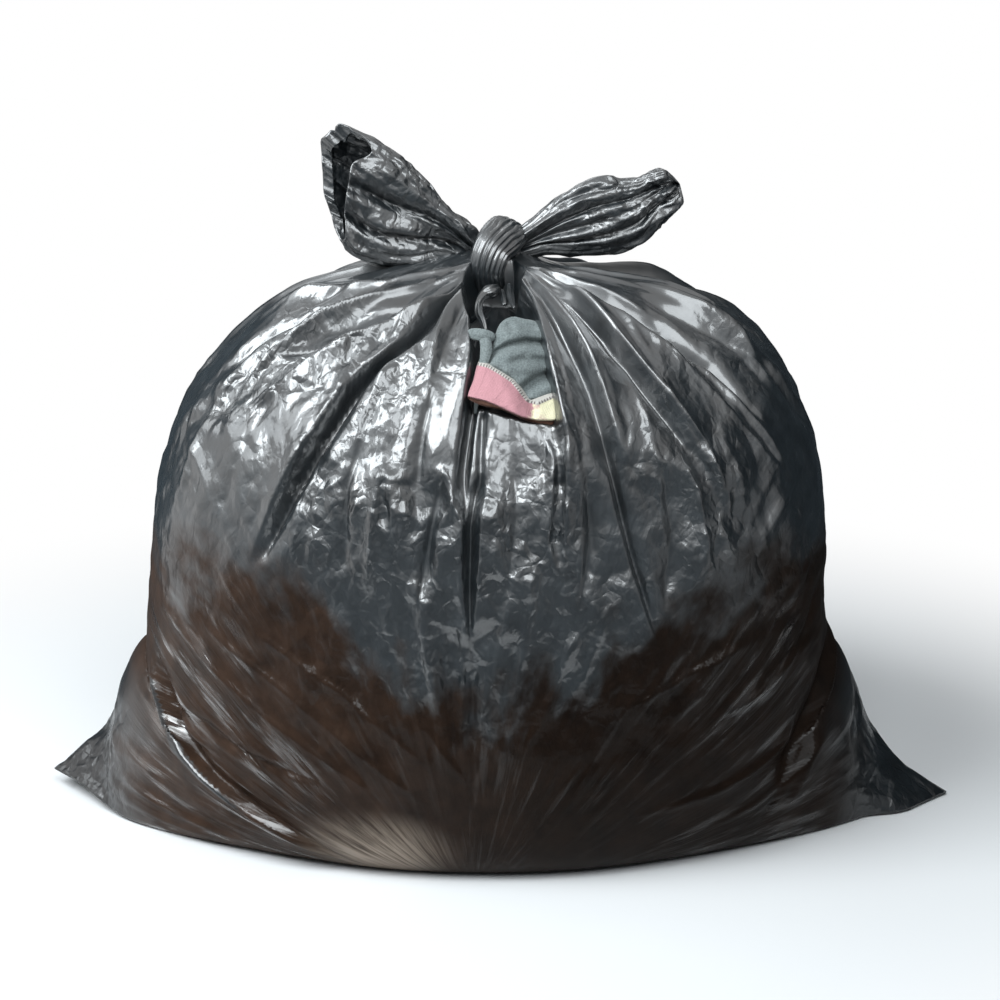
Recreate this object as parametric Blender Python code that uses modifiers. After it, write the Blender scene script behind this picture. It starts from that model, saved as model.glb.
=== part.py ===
"""Full refuse sack, tied with one overhand knot, with the cuff of a discarded garment showing below the knot.

The sack is one tube of thin film, sealed flat across the bottom. It and what it holds are one closed solid: a
gathered dome, two flat corners drawn out at the bottom, the neck, the knot and two free ends, its ears.
The garment in the gap below the knot is a sleeve and the cuff band sewn to it.

Metres, +Z up. -Y is the front. The origin is on the ground under the knot.
"""

import math

import bmesh
import bpy
from mathutils import Matrix
from mathutils import Vector

# The sack flat: 740 mm wide. Filled, its girth stays twice that, which the plan of the body has to match.
BODY_HALF_WIDTH = 0.265
BODY_HALF_DEPTH = 0.214
PLAN_POWER = 2.15
WIDEST_HEIGHT = 0.150
DOME_TOP = 0.427
DOME_POWER = 2.6
DOME_SHIFT = 0.007
UNDERSIDE_DROP = 0.006
SIDE_HEIGHT_POWER = 0.57
SIDE_GIRTH_POWER = 0.15

# The cage of the body
BODY_COLUMNS = 40
BODY_ROWS = 20

# The flat-sealed corners of the bottom, to the left and right: a broad shoulder, then a flat fin out of it
SHOULDER_HEIGHT = 0.122
SHOULDER_REACH = 0.047
SHOULDER_POWER = 0.6
SHOULDER_SPREAD = math.radians(27)
FIN_HEIGHT = 0.050
FIN_REACH = 0.056
FIN_SPREAD = math.radians(7)
CORNER_UNDERSIDE = math.radians(-60)

# The gathers that run down from the knot
GATHER_START = math.radians(20)
GATHER_DEPTH = 0.055

# The neck and the knot
NECK_FOOT_RADIUS = 0.058
NECK_RADIUS = 0.018
NECK_FOOT = 0.400
KNOT_HEIGHT = 0.432
STRAND_RADIUS = 0.0125
WRAP_RADIUS = 0.0135
WRAP_LEAN = math.radians(35)
CORE_SIZE = (0.021, 0.018, 0.026)

# The ears. Each station along an ear's middle is (x, y, z, half width, half thickness, lean), where the lean is
# how many degrees the top of the section tips towards -X
LEFT_EAR = (
    (0.004, 0.002, 0.434, 0.013, 0.011, 0),
    (-0.024, 0.005, 0.445, 0.020, 0.013, 0),
    (-0.052, 0.008, 0.455, 0.031, 0.017, 0),
    (-0.076, 0.010, 0.465, 0.043, 0.022, 0),
    (-0.096, 0.012, 0.472, 0.052, 0.024, 7),
    (-0.115, 0.012, 0.478, 0.055, 0.023, 15),
)
RIGHT_EAR = (
    (-0.002, 0.002, 0.434, 0.013, 0.011, 0),
    (0.034, 0.006, 0.444, 0.017, 0.012, 0),
    (0.066, 0.008, 0.453, 0.027, 0.015, 0),
    (0.096, 0.010, 0.459, 0.030, 0.016, 0),
    (0.122, 0.010, 0.468, 0.022, 0.015, 0),
    (0.138, 0.010, 0.478, 0.015, 0.013, 0),
    (0.145, 0.010, 0.483, 0.010, 0.009, 0),
)
EAR_SIDES = 12
EAR_LIP = 0.004
EAR_HOLLOW_DEPTH = 0.055
EAR_HOLLOW_TAPER = 0.35

# The gap in the gathers, and the garment that fills its lower half
GAP_CENTRE = Vector((0.005, -0.054, 0.416))
GAP_SIZE = (0.020, 0.028, 0.018)
SLEEVE_CENTRE = Vector((0.019, -0.117, 0.381))
SLEEVE_SIZE = (0.074, 0.086, 0.044)
SLEEVE_TAPER = 0.40
CUFF_CENTRE = Vector((0.021, -0.151, 0.359))
CUFF_SIZE = (0.074, 0.036, 0.032)
GARMENT_SLOPE = math.radians(33)
CUFF_TURN = math.radians(-14)
TOUCHING_GAP = 0.0004

# Vertices closer than this are one
MERGE = 0.00001

# The block below the ground that leaves the underside flat
GROUND_BLOCK = (1.0, 1.0, 0.1)


def clear_scene():
    """Removes every object of the scene it is run in."""
    for old in list(bpy.data.objects):
        bpy.data.objects.remove(old, do_unlink=True)


def new_collection(name):
    """A collection in the scene, made once."""
    collection = bpy.data.collections.new(name)
    bpy.context.scene.collection.children.link(collection)
    return collection


def new_material(name, colour, roughness):
    """A plain Principled finish, which no piece here has as metal."""
    material = bpy.data.materials.new(name)
    material.use_nodes = True
    shader = material.node_tree.nodes["Principled BSDF"]
    shader.inputs["Base Color"].default_value = (*colour, 1.0)
    shader.inputs["Roughness"].default_value = roughness
    shader.inputs["Metallic"].default_value = 0.0
    return material


def new_object(name, shape, collection, material=None):
    """An object from a finished bmesh, with its faces turned outwards and shaded smooth."""
    bmesh.ops.recalc_face_normals(shape, faces=shape.faces)
    mesh = bpy.data.meshes.new(name)
    shape.to_mesh(mesh)
    shape.free()
    mesh.shade_smooth()
    made = bpy.data.objects.new(name, mesh)
    collection.objects.link(made)
    if material:
        mesh.materials.append(material)
    return made


def add_subdivision(made, levels):
    """Rounds a coarse cage into a soft form."""
    modifier = made.modifiers.new("soft_form", "SUBSURF")
    modifier.levels = levels
    modifier.render_levels = levels


def add_offset(made, distance):
    """Grows a form by an even distance all over."""
    modifier = made.modifiers.new("clearance", "DISPLACE")
    modifier.mid_level = 0.0
    modifier.strength = distance


def add_boolean(made, other, operation):
    """Joins another form to this one, or cuts it from this one."""
    modifier = made.modifiers.new(f"{operation.lower()}_{other.name}", "BOOLEAN")
    modifier.operation = operation
    modifier.solver = "EXACT"
    modifier.object = other


def make_cutter(made):
    """Keeps a form out of the finished object, as a guide drawn in wire."""
    made.hide_render = True
    made.display_type = "WIRE"


def off_axis(azimuth):
    """The angle from this azimuth to the nearer corner, which lie to the left and right."""
    return min(abs(azimuth), math.pi - abs(azimuth))


def shoulder_share(azimuth):
    """How much of the corner's shoulder shows at this azimuth."""
    return math.exp(-((off_axis(azimuth) / SHOULDER_SPREAD) ** 2))


def corner_reach(azimuth, height):
    """How far the flat-sealed corner stands out from the body at this azimuth and height."""
    shoulder = SHOULDER_REACH * max(0.0, 1.0 - height / SHOULDER_HEIGHT) ** SHOULDER_POWER
    fin = FIN_REACH * max(0.0, 1.0 - height / FIN_HEIGHT)
    return shoulder * shoulder_share(azimuth) + fin * math.exp(-off_axis(azimuth) / FIN_SPREAD)


def body_level(lift):
    """The height of a row of the cage, and its share of the body's full girth."""
    rise = abs(math.sin(lift))
    spread = abs(math.cos(lift))
    if lift >= 0.0:
        height = WIDEST_HEIGHT + (DOME_TOP - WIDEST_HEIGHT) * rise ** (2 / DOME_POWER)
        return height, spread ** (2 / DOME_POWER)
    height = WIDEST_HEIGHT - (WIDEST_HEIGHT + UNDERSIDE_DROP) * rise**SIDE_HEIGHT_POWER
    return height, spread**SIDE_GIRTH_POWER


def gather_scale(azimuth, lift):
    """How far a gather pushes the film out or draws it in, alternating from column to column."""
    if lift <= GATHER_START:
        return 1.0
    column = round(azimuth / (2 * math.pi / BODY_COLUMNS))
    strength = math.sin((lift - GATHER_START) / (math.pi / 2 - GATHER_START) * math.pi)
    return 1.0 + GATHER_DEPTH * strength * (1 if column % 2 else -1)


def superellipse(azimuth):
    """The body's plan at its widest, at this azimuth."""
    across = math.copysign(abs(math.cos(azimuth)) ** (2 / PLAN_POWER), math.cos(azimuth))
    along = math.copysign(abs(math.sin(azimuth)) ** (2 / PLAN_POWER), math.sin(azimuth))
    return Vector((BODY_HALF_WIDTH * across, BODY_HALF_DEPTH * along))


def body_point(unit):
    """Where a point of the unit sphere lies on the filled sack."""
    azimuth = math.atan2(unit.y, unit.x)
    lift = math.asin(max(-1.0, min(1.0, unit.z)))
    height, share = body_level(lift)
    reach = 0.0
    if CORNER_UNDERSIDE < lift < 0.0:
        share += (1.0 - share) * shoulder_share(azimuth)
        reach = corner_reach(azimuth, height)
    flat = superellipse(azimuth) * share * gather_scale(azimuth, lift)
    flat += Vector((math.cos(azimuth), math.sin(azimuth))) * reach
    shift = DOME_SHIFT * max(0.0, math.sin(lift))
    return Vector((flat.x + shift, flat.y, height))


def crease_corners(shape):
    """Keeps the two sealed corners sharp where Subdivision Surface would round them away."""
    crease = shape.edges.layers.float.new("crease_edge")
    for edge in shape.edges:
        on_corner = all(abs(end.co.y) < MERGE and abs(end.co.x) > BODY_HALF_WIDTH / 2 for end in edge.verts)
        if on_corner and max(end.co.z for end in edge.verts) < FIN_HEIGHT:
            edge[crease] = 1.0


def make_body(collection, material):
    """The filled body of the sack: dome, gathers and the two bottom corners."""
    shape = bmesh.new()
    bmesh.ops.create_uvsphere(shape, u_segments=BODY_COLUMNS, v_segments=BODY_ROWS, radius=1.0)
    for vertex in shape.verts:
        vertex.co = body_point(vertex.co.normalized())
    crease_corners(shape)
    body = new_object("refuse_sack", shape, collection, material)
    add_subdivision(body, 1)
    return body


def make_neck(collection):
    """The gathered neck between the dome and the knot."""
    shape = bmesh.new()
    length = KNOT_HEIGHT - NECK_FOOT
    bmesh.ops.create_cone(
        shape,
        cap_ends=True,
        segments=BODY_COLUMNS // 2,
        radius1=NECK_FOOT_RADIUS,
        radius2=NECK_RADIUS,
        depth=length,
        matrix=Matrix.Translation((0.0, 0.0, NECK_FOOT + length / 2)),
    )
    return new_object("neck", shape, collection)


def make_knot_core(collection):
    """The drawn-up bundle in the middle of the knot."""
    shape = bmesh.new()
    place = Matrix.Translation((0.0, 0.0, KNOT_HEIGHT)) @ Matrix.Diagonal((*CORE_SIZE, 1.0))
    bmesh.ops.create_uvsphere(shape, u_segments=20, v_segments=12, radius=1.0, matrix=place)
    return new_object("knot_core", shape, collection)


def make_knot_wrap(collection):
    """The strand that passes once round the bundle, from upper right to lower left across the front."""
    shape = bmesh.new()
    centre_line = Vector((WRAP_RADIUS, 0.0, 0.0))
    bmesh.ops.create_circle(shape, cap_ends=False, segments=12, radius=STRAND_RADIUS)
    bmesh.ops.rotate(shape, verts=shape.verts, matrix=Matrix.Rotation(math.pi / 2, 3, "X"))
    bmesh.ops.translate(shape, verts=shape.verts, vec=centre_line)
    bmesh.ops.spin(
        shape,
        geom=shape.verts[:] + shape.edges[:],
        axis=(0.0, 0.0, 1.0),
        angle=2 * math.pi,
        steps=24,
        use_merge=True,
    )
    bmesh.ops.remove_doubles(shape, verts=shape.verts, dist=MERGE)
    lean = Matrix.Rotation(math.pi / 2 + WRAP_LEAN, 3, "Y")
    bmesh.ops.rotate(shape, verts=shape.verts, matrix=lean)
    bmesh.ops.translate(shape, verts=shape.verts, vec=(0.0, 0.0, KNOT_HEIGHT))
    return new_object("knot_wrap", shape, collection)


def set_section(face, station, across, upright):
    """Moves the corners of a section's face onto its ellipse."""
    centre = Vector(station[:3])
    half_width, half_thickness, lean = station[3:]
    leaning = Matrix.Rotation(-math.radians(lean), 3, "Y") @ upright
    for index, corner in enumerate(face.verts):
        turn = 2 * math.pi * index / EAR_SIDES
        along_width = leaning * (half_width * math.cos(turn))
        corner.co = centre + along_width + across * (half_thickness * math.sin(turn))


def make_ear(name, stations, collection, hollow):
    """A free end of the sack, drawn out section by section. A hollow one ends in an open mouth with a thin lip."""
    shape = bmesh.new()
    bmesh.ops.create_circle(shape, cap_ends=True, segments=EAR_SIDES, radius=1.0)
    front = Vector((0.0, 1.0, 0.0))
    shape.faces.ensure_lookup_table()
    face = shape.faces[0]
    for index, station in enumerate(stations):
        before = Vector(stations[max(index - 1, 0)][:3])
        after = Vector(stations[min(index + 1, len(stations) - 1)][:3])
        along = (after - before).normalized()
        upright = along.cross(front).normalized()
        if index > 0:
            face = bmesh.ops.extrude_discrete_faces(shape, faces=[face])["faces"][0]
        set_section(face, station, front, upright)
    if hollow:
        bmesh.ops.inset_region(shape, faces=[face], thickness=EAR_LIP)
        bmesh.ops.translate(shape, verts=face.verts, vec=-along * EAR_LIP)
        floor = bmesh.ops.extrude_discrete_faces(shape, faces=[face])["faces"][0]
        middle = floor.calc_center_median()
        bmesh.ops.scale(
            shape,
            verts=floor.verts,
            vec=(EAR_HOLLOW_TAPER, EAR_HOLLOW_TAPER, EAR_HOLLOW_TAPER),
            space=Matrix.Translation(-middle),
        )
        bmesh.ops.translate(shape, verts=floor.verts, vec=-along * EAR_HOLLOW_DEPTH)
    ear = new_object(name, shape, collection)
    add_subdivision(ear, 1)
    return ear


def make_gap(collection):
    """The shadowed hollow between the knot and the garment."""
    shape = bmesh.new()
    place = Matrix.Translation(GAP_CENTRE) @ Matrix.Diagonal((*GAP_SIZE, 1.0))
    bmesh.ops.create_uvsphere(shape, u_segments=16, v_segments=10, radius=1.0, matrix=place)
    return new_object("gap", shape, collection)


def soft_block(name, size, centre, turn, taper, collection, material=None):
    """A soft pad lying on the slope of the dome, narrower towards its upper end by the taper."""
    shape = bmesh.new()
    bmesh.ops.create_cube(shape, size=1.0)
    bmesh.ops.subdivide_edges(shape, edges=shape.edges[:], cuts=2, use_grid_fill=True)
    for vertex in shape.verts:
        narrowing = 1.0 - taper * (vertex.co.y + 0.5)
        vertex.co = Vector((vertex.co.x * size[0] * narrowing, vertex.co.y * size[1], vertex.co.z * size[2]))
    slope = Matrix.Rotation(GARMENT_SLOPE, 4, "X") @ Matrix.Rotation(turn, 4, "Z")
    bmesh.ops.transform(shape, matrix=Matrix.Translation(centre) @ slope, verts=shape.verts)
    made = new_object(name, shape, collection, material)
    add_subdivision(made, 2)
    return made


def make_sleeve(name, collection, material=None):
    """The sleeve, folded flat into the gap."""
    return soft_block(name, SLEEVE_SIZE, SLEEVE_CENTRE, 0.0, SLEEVE_TAPER, collection, material)


def make_cuff(name, collection, material=None):
    """The cuff band at the sleeve's lower end."""
    return soft_block(name, CUFF_SIZE, CUFF_CENTRE, CUFF_TURN, 0.0, collection, material)


def make_ground_block(collection):
    """Everything below the ground, which the weight of the contents presses flat."""
    shape = bmesh.new()
    place = Matrix.Translation((0.0, 0.0, -GROUND_BLOCK[2] / 2)) @ Matrix.Diagonal((*GROUND_BLOCK, 1.0))
    bmesh.ops.create_cube(shape, size=1.0, matrix=place)
    return new_object("ground_block", shape, collection)


def main():
    """Builds the sack and the garment."""
    clear_scene()
    parts = new_collection("full_bin_bag")
    cutters = new_collection("cutters")
    film = new_material("black_film", (0.012, 0.013, 0.015), 0.35)
    knit = new_material("grey_knit", (0.13, 0.15, 0.17), 0.95)
    rib = new_material("pink_rib", (0.72, 0.36, 0.38), 0.95)

    sack = make_body(parts, film)
    added = (
        make_neck(cutters),
        make_knot_core(cutters),
        make_knot_wrap(cutters),
        make_ear("left_ear", LEFT_EAR, cutters, hollow=True),
        make_ear("right_ear", RIGHT_EAR, cutters, hollow=False),
    )
    cuff_room = make_cuff("cuff_room", cutters)
    add_offset(cuff_room, TOUCHING_GAP)
    sleeve_room = make_sleeve("sleeve_room", cutters)
    add_offset(sleeve_room, TOUCHING_GAP)
    cut = (make_gap(cutters), sleeve_room, cuff_room, make_ground_block(cutters))
    for form in added:
        make_cutter(form)
        add_boolean(sack, form, "UNION")
    for form in cut:
        make_cutter(form)
        add_boolean(sack, form, "DIFFERENCE")

    sleeve = make_sleeve("garment_sleeve", parts, knit)
    add_boolean(sleeve, cuff_room, "DIFFERENCE")
    make_cuff("garment_cuff", parts, rib)


main()
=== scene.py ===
"""A full refuse sack of thin black film, knotted at the top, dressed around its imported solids.

The sack's film is the filled body, its two free ends, and the knot with the loose film below it; they meet
inside the knot. A sleeve and its cuff show in the gap below the knot. Metres, +Z up, -Y is the front.
"""

import logging
import math
from collections.abc import Callable
from dataclasses import dataclass
from enum import Enum
from functools import partial

import bmesh
import bpy
import numpy as np
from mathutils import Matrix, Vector


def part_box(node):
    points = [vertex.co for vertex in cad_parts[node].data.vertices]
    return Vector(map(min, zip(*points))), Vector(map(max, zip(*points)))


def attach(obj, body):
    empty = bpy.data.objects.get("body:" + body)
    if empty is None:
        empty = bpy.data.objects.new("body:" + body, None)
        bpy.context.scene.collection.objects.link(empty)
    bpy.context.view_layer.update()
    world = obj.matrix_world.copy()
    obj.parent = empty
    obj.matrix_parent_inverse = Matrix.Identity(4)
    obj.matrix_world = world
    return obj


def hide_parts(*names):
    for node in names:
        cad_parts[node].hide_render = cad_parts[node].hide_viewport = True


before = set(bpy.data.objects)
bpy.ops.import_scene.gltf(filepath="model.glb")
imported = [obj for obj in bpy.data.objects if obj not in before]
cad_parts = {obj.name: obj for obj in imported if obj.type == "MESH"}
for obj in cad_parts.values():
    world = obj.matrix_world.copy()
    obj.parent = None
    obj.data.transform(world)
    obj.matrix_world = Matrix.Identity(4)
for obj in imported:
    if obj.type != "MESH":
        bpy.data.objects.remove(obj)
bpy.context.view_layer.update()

LOG = logging.getLogger("full_bin_bag")
Array = np.ndarray
Line = tuple[tuple[float, float], ...]
Stations = tuple[tuple[float, ...], ...]

SACK_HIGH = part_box("refuse_sack")[1]
MM = 0.001


class Slot(Enum):
    """The record's material slots."""

    FILM = "sack_film"
    KNIT = "sleeve_knit"
    RIB = "cuff_rib"


def linear(code: str) -> tuple[float, float, float, float]:
    """Turns an sRGB hex colour into the linear colour that a shader takes.

    Args:
        code: the colour as #RRGGBB.

    Returns:
        Red, green, blue and an alpha of 1.
    """
    parts = [int(code[start : start + 2], 16) / 255 for start in (1, 3, 5)]
    red, green, blue = (p / 12.92 if p <= 0.04045 else ((p + 0.055) / 1.055) ** 2.4 for p in parts)
    return red, green, blue, 1.0


def connect(node: bpy.types.Node, inputs: dict) -> None:
    """Sets or feeds the inputs of a node.

    Args:
        node: the node.
        inputs: for an input's name or number, a value, a socket, or a node whose first live output feeds it.
    """
    for name, source in inputs.items():
        if isinstance(source, bpy.types.Node):
            source = next(output for output in source.outputs if output.enabled)
        if isinstance(source, bpy.types.NodeSocket):
            node.id_data.links.new(source, node.inputs[name])
        else:
            node.inputs[name].default_value = source


def add_node(tree: bpy.types.NodeTree, kind: str, inputs: dict | None = None, **settings) -> bpy.types.Node:
    """Adds a node with its settings and its links.

    Args:
        tree: the node tree it goes in.
        kind: the node's type, without the words ShaderNode.
        inputs: what its inputs hold or are fed by, as connect takes it.
        settings: the node's own properties.

    Returns:
        The new node.
    """
    node = tree.nodes.new("ShaderNode" + kind)
    for name, value in settings.items():
        setattr(node, name, value)
    connect(node, inputs or {})
    return node


def start_material(name: str, shading: dict) -> tuple[bpy.types.Material, bpy.types.Node, Callable]:
    """Starts a material with its shader.

    Args:
        name: the material's name.
        shading: the shader's values that are the same all over the surface.

    Returns:
        The material, its shader and the function that adds nodes to it.
    """
    material = bpy.data.materials.new(name)
    material.use_nodes = True
    shader = material.node_tree.nodes["Principled BSDF"]
    connect(shader, shading)
    return material, shader, partial(add_node, material.node_tree)


def span(low: float, high: float, first: float = 0.0, last: float = 1.0) -> dict:
    """The inputs of a Map Range node that turns low to high into first to last."""
    return {"From Min": low, "From Max": high, "To Min": first, "To Max": last}


# --- Fields over the film: noise that is the same on every run ---


def smooth(value: Array, low: float, high: float) -> Array:
    """A smooth step from 0 at low to 1 at high; low may be the larger."""
    share = np.clip((value - low) / (high - low), 0.0, 1.0)
    return share * share * (3.0 - 2.0 * share)


def band(value: Array, low: float, start: float, end: float, high: float) -> Array:
    """A smooth rise from 0 at low to 1 at start, and a smooth fall from 1 at end to 0 at high."""
    return smooth(value, low, start) * smooth(value, high, end)


def lattice_random(cells: list[Array], salt: int) -> Array:
    """Random numbers for the whole-number cells of a lattice.

    Args:
        cells: one whole-number array for each axis of the lattice.
        salt: which set of random numbers to draw.

    Returns:
        One number from 0 to 1 for each cell.
    """
    mixed = np.full(cells[0].shape, (salt * 0x9E3779B97F4A7C15 + 0x7F4A7C15) % 2**64, np.uint64)
    for cell in cells:
        mixed ^= cell.astype(np.int64).astype(np.uint64)
        mixed *= np.uint64(0xBF58476D1CE4E5B9)
        mixed ^= mixed >> np.uint64(29)
        mixed *= np.uint64(0x94D049BB133111EB)
        mixed ^= mixed >> np.uint64(32)
    return (mixed & np.uint64(0xFFFFFF)).astype(float) / 0xFFFFFF


def soft_noise(points: Array, salt: int) -> Array:
    """Smooth noise from -1 to 1 that varies over about one unit.

    Args:
        points: positions, with the three coordinates last.
        salt: which noise to draw.

    Returns:
        One value for each position.
    """
    cell = np.floor(points).astype(np.int64)
    share = points - cell
    share = share * share * (3.0 - 2.0 * share)
    total = np.zeros(points.shape[:-1])
    for corner in range(8):
        step = ((corner >> 0) & 1, (corner >> 1) & 1, (corner >> 2) & 1)
        weight = np.ones(points.shape[:-1])
        for axis in range(3):
            weight = weight * (share[..., axis] if step[axis] else 1.0 - share[..., axis])
        total += weight * lattice_random([cell[..., axis] + step[axis] for axis in range(3)], salt)
    return total * 2.0 - 1.0


def layered_noise(points: Array, salt: int, layers: int) -> Array:
    """Soft noise with finer and weaker layers on top of it.

    Args:
        points: positions, with the three coordinates last.
        salt: which noise to draw.
        layers: how many layers there are.

    Returns:
        One value for each position, mostly from -1 to 1.
    """
    total = np.zeros(points.shape[:-1])
    for layer in range(layers):
        total += soft_noise(points * 2.03**layer, salt + layer) * 0.5**layer
    return total


def facets(across: Array, along: Array, around: int, salt: int) -> Array:
    """The heights of a crumpled sheet: flat three-cornered facets that meet in sharp creases.

    Args:
        across: position round the sheet, one unit for each cell; it wraps at around.
        along: position along the sheet, one unit for each cell.
        around: how many cells there are in the full turn.
        salt: which sheet to draw.

    Returns:
        Heights from -1 to 1.
    """
    column = np.floor(across).astype(np.int64)
    row = np.floor(along).astype(np.int64)
    flip = lattice_random([column % around, row], salt + 50) > 0.5
    a = np.where(flip, 1.0 - across + column, across - column)
    b = along - row
    near, far = (np.where(chosen, column + 1, column) % around for chosen in (flip, ~flip))
    h00, h10 = (lattice_random([side, row], salt) for side in (near, far))
    h01, h11 = (lattice_random([side, row + 1], salt) for side in (near, far))
    lower = h00 + a * (h10 - h00) + b * (h01 - h00)
    upper = h11 + (1.0 - a) * (h01 - h11) + (1.0 - b) * (h10 - h11)
    return np.where(a + b < 1.0, lower, upper) * 2.0 - 1.0


# --- Meshes laid over a shape ---


@dataclass(frozen=True)
class Weave:
    """What the finishes read off a surface, each kept as an attribute of its own name.

    Grain holds distances in metres across and along the way the surface is drawn. Slack is how loose the
    film is, tucked how far it is turned in (the film's finish dims its bright skin there as painted shade),
    bare where the film is left without the painted brown reflection of the ground, and taut how strong its
    fine wrinkles are. Solid is how much of a card there is.
    """

    grain: Array | None = None
    slack: Array | None = None
    tucked: Array | None = None
    bare: Array | None = None
    taut: Array | None = None
    solid: Array | None = None

    def keep(self, mesh: bpy.types.Mesh) -> None:
        """Writes the attributes that there are.

        Args:
            mesh: the mesh that takes them, one value for each vertex.
        """
        for name, values in vars(self).items():
            if values is not None:
                kind, key = ("FLOAT_VECTOR", "vector") if name == "grain" else ("FLOAT", "value")
                layer = mesh.attributes.new(name, kind, "POINT")
                layer.data.foreach_set(key, np.ascontiguousarray(values, np.float32).reshape(-1))


Surface = Callable[[Array, Array], tuple[Array, Weave]]


def join(*parts: Array | float) -> Array:
    """Puts the parts of a position or a grain together, with the parts last."""
    return np.stack(np.broadcast_arrays(*parts), axis=-1)


def unit_vectors(vectors: Array) -> Array:
    """The vectors at a length of one."""
    return vectors / np.maximum(np.linalg.norm(vectors, axis=-1, keepdims=True), 1e-12)


def spline(stations: Stations, share: Array, closed: bool = False) -> Array:
    """A smooth curve through evenly spaced stations.

    Args:
        stations: the values at each station.
        share: positions along the curve, from 0 to 1.
        closed: whether the last station leads back to the first.

    Returns:
        The values at each position, with the values last.
    """
    points = np.array(stations, float)
    count = len(points)
    spans = count if closed else count - 1
    place = np.clip(share, 0.0, 1.0) * spans
    span = np.minimum(np.floor(place).astype(int), spans - 1)
    part = (place - span)[..., None]
    index = [span + step for step in (-1, 0, 1, 2)]
    if closed:
        before, first, second, after = (points[i % count] for i in index)
    else:
        before, first, second, after = (points[np.clip(i, 0, count - 1)] for i in index)
    bend = 2 * first + (second - before) * part
    bend += (2 * before - 5 * first + 4 * second - after) * part**2
    return 0.5 * (bend + (3 * first - before - 3 * second + after) * part**3)


def heading(stations: Stations, share: Array, step: float, closed: bool = False) -> Array:
    """The direction of the curve through stations, taken over a step before and after each share of it.

    Args:
        stations: the values at each station.
        share: positions along the curve, from 0 to 1.
        step: how far before and after each position the curve is looked at.
        closed: whether the last station leads back to the first.

    Returns:
        Vectors of a length of one.
    """
    ends = (share + step, share - step)
    ahead, behind = (spline(stations, end % 1.0 if closed else end, closed)[..., :3] for end in ends)
    return unit_vectors(ahead - behind)


def section(station: Array, across: Array, out: Array, turn: Array, swell: Array) -> Array:
    """Points round the section of a strand.

    Args:
        station: the middle of the section, half its width and half its thickness.
        across: the direction of its width.
        out: the direction of its thickness.
        turn: the angle round it in radians.
        swell: how far it stands out, as a share of its size.

    Returns:
        Positions.
    """
    wide = (station[..., 3] * np.cos(turn) * swell)[..., None]
    thick = (station[..., 4] * np.sin(turn) * swell)[..., None]
    return station[..., :3] + across * wide + out * thick


def along_line(across: Array, upward: Array, line: Line) -> tuple[Array, Array]:
    """Where points lie beside a line on a flat face.

    Args:
        across: how far along the face the points are.
        upward: how far up it they are.
        line: the line's corners, in the same units.

    Returns:
        The nearest place along the line, and the distance from it, positive to the left of its direction.
    """
    best = np.full(across.shape, np.inf)
    place = np.zeros(across.shape)
    side = np.ones(across.shape)
    start = 0.0
    for (x0, y0), (x1, y1) in zip(line, line[1:]):
        length = math.hypot(x1 - x0, y1 - y0)
        ahead = ((x1 - x0) / length, (y1 - y0) / length)
        share = np.clip((across - x0) * ahead[0] + (upward - y0) * ahead[1], 0.0, length)
        off_x = across - x0 - share * ahead[0]
        off_y = upward - y0 - share * ahead[1]
        distance = np.hypot(off_x, off_y)
        nearer = distance < best
        best = np.where(nearer, distance, best)
        place = np.where(nearer, start + share, place)
        side = np.where(nearer, np.where(ahead[0] * off_y - ahead[1] * off_x < 0.0, -1.0, 1.0), side)
        start += length
    return place, best * side


def lay_sheet(name: str, columns: int, rows: int, surface: Surface, welded: bool = True) -> bpy.types.Object:
    """Lays a grid over a surface, welds the edges that meet and keeps what its finish reads.

    Args:
        name: the piece's name.
        columns: how many faces there are along the first share.
        rows: how many faces there are along the second.
        surface: turns the two shares, each from 0 to 1, into positions and what the finish reads.
        welded: whether points in the same place become one.

    Returns:
        The piece, with its faces outwards when it is closed.
    """
    mesh = bpy.data.meshes.new(name)
    shape = bmesh.new()
    shape.loops.layers.uv.new("UVMap")
    bmesh.ops.create_grid(shape, x_segments=columns, y_segments=rows, size=0.5, calc_uvs=True)
    shape.to_mesh(mesh)
    shape.free()
    flat = np.empty(len(mesh.vertices) * 3)
    mesh.vertices.foreach_get("co", flat)
    shares = np.clip(flat.reshape(-1, 3)[:, :2] + 0.5, 0.0, 1.0)
    places, weave = surface(shares[:, 0], shares[:, 1])
    mesh.vertices.foreach_set("co", places.reshape(-1))
    weave.keep(mesh)
    if welded:
        shape = bmesh.new()
        shape.from_mesh(mesh)
        bmesh.ops.remove_doubles(shape, verts=shape.verts, dist=0.02 * MM)
        bmesh.ops.recalc_face_normals(shape, faces=shape.faces)
        shape.to_mesh(mesh)
        shape.free()
    mesh.shade_smooth()
    piece = bpy.data.objects.new(name, mesh)
    bpy.context.scene.collection.objects.link(piece)
    return piece


# --- The sack's form ---


@dataclass(frozen=True)
class Film:
    """Points on the sack's film: bearings, drops, distances from its axis and places before it is folded."""

    bearing: Array
    drop: Array
    radius: Array
    place: Array

    def off(self, bearing: Array | float) -> Array:
        """How far each point's bearing is from another one, in degrees either way."""
        return (self.bearing - bearing + 180.0) % 360.0 - 180.0


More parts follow.
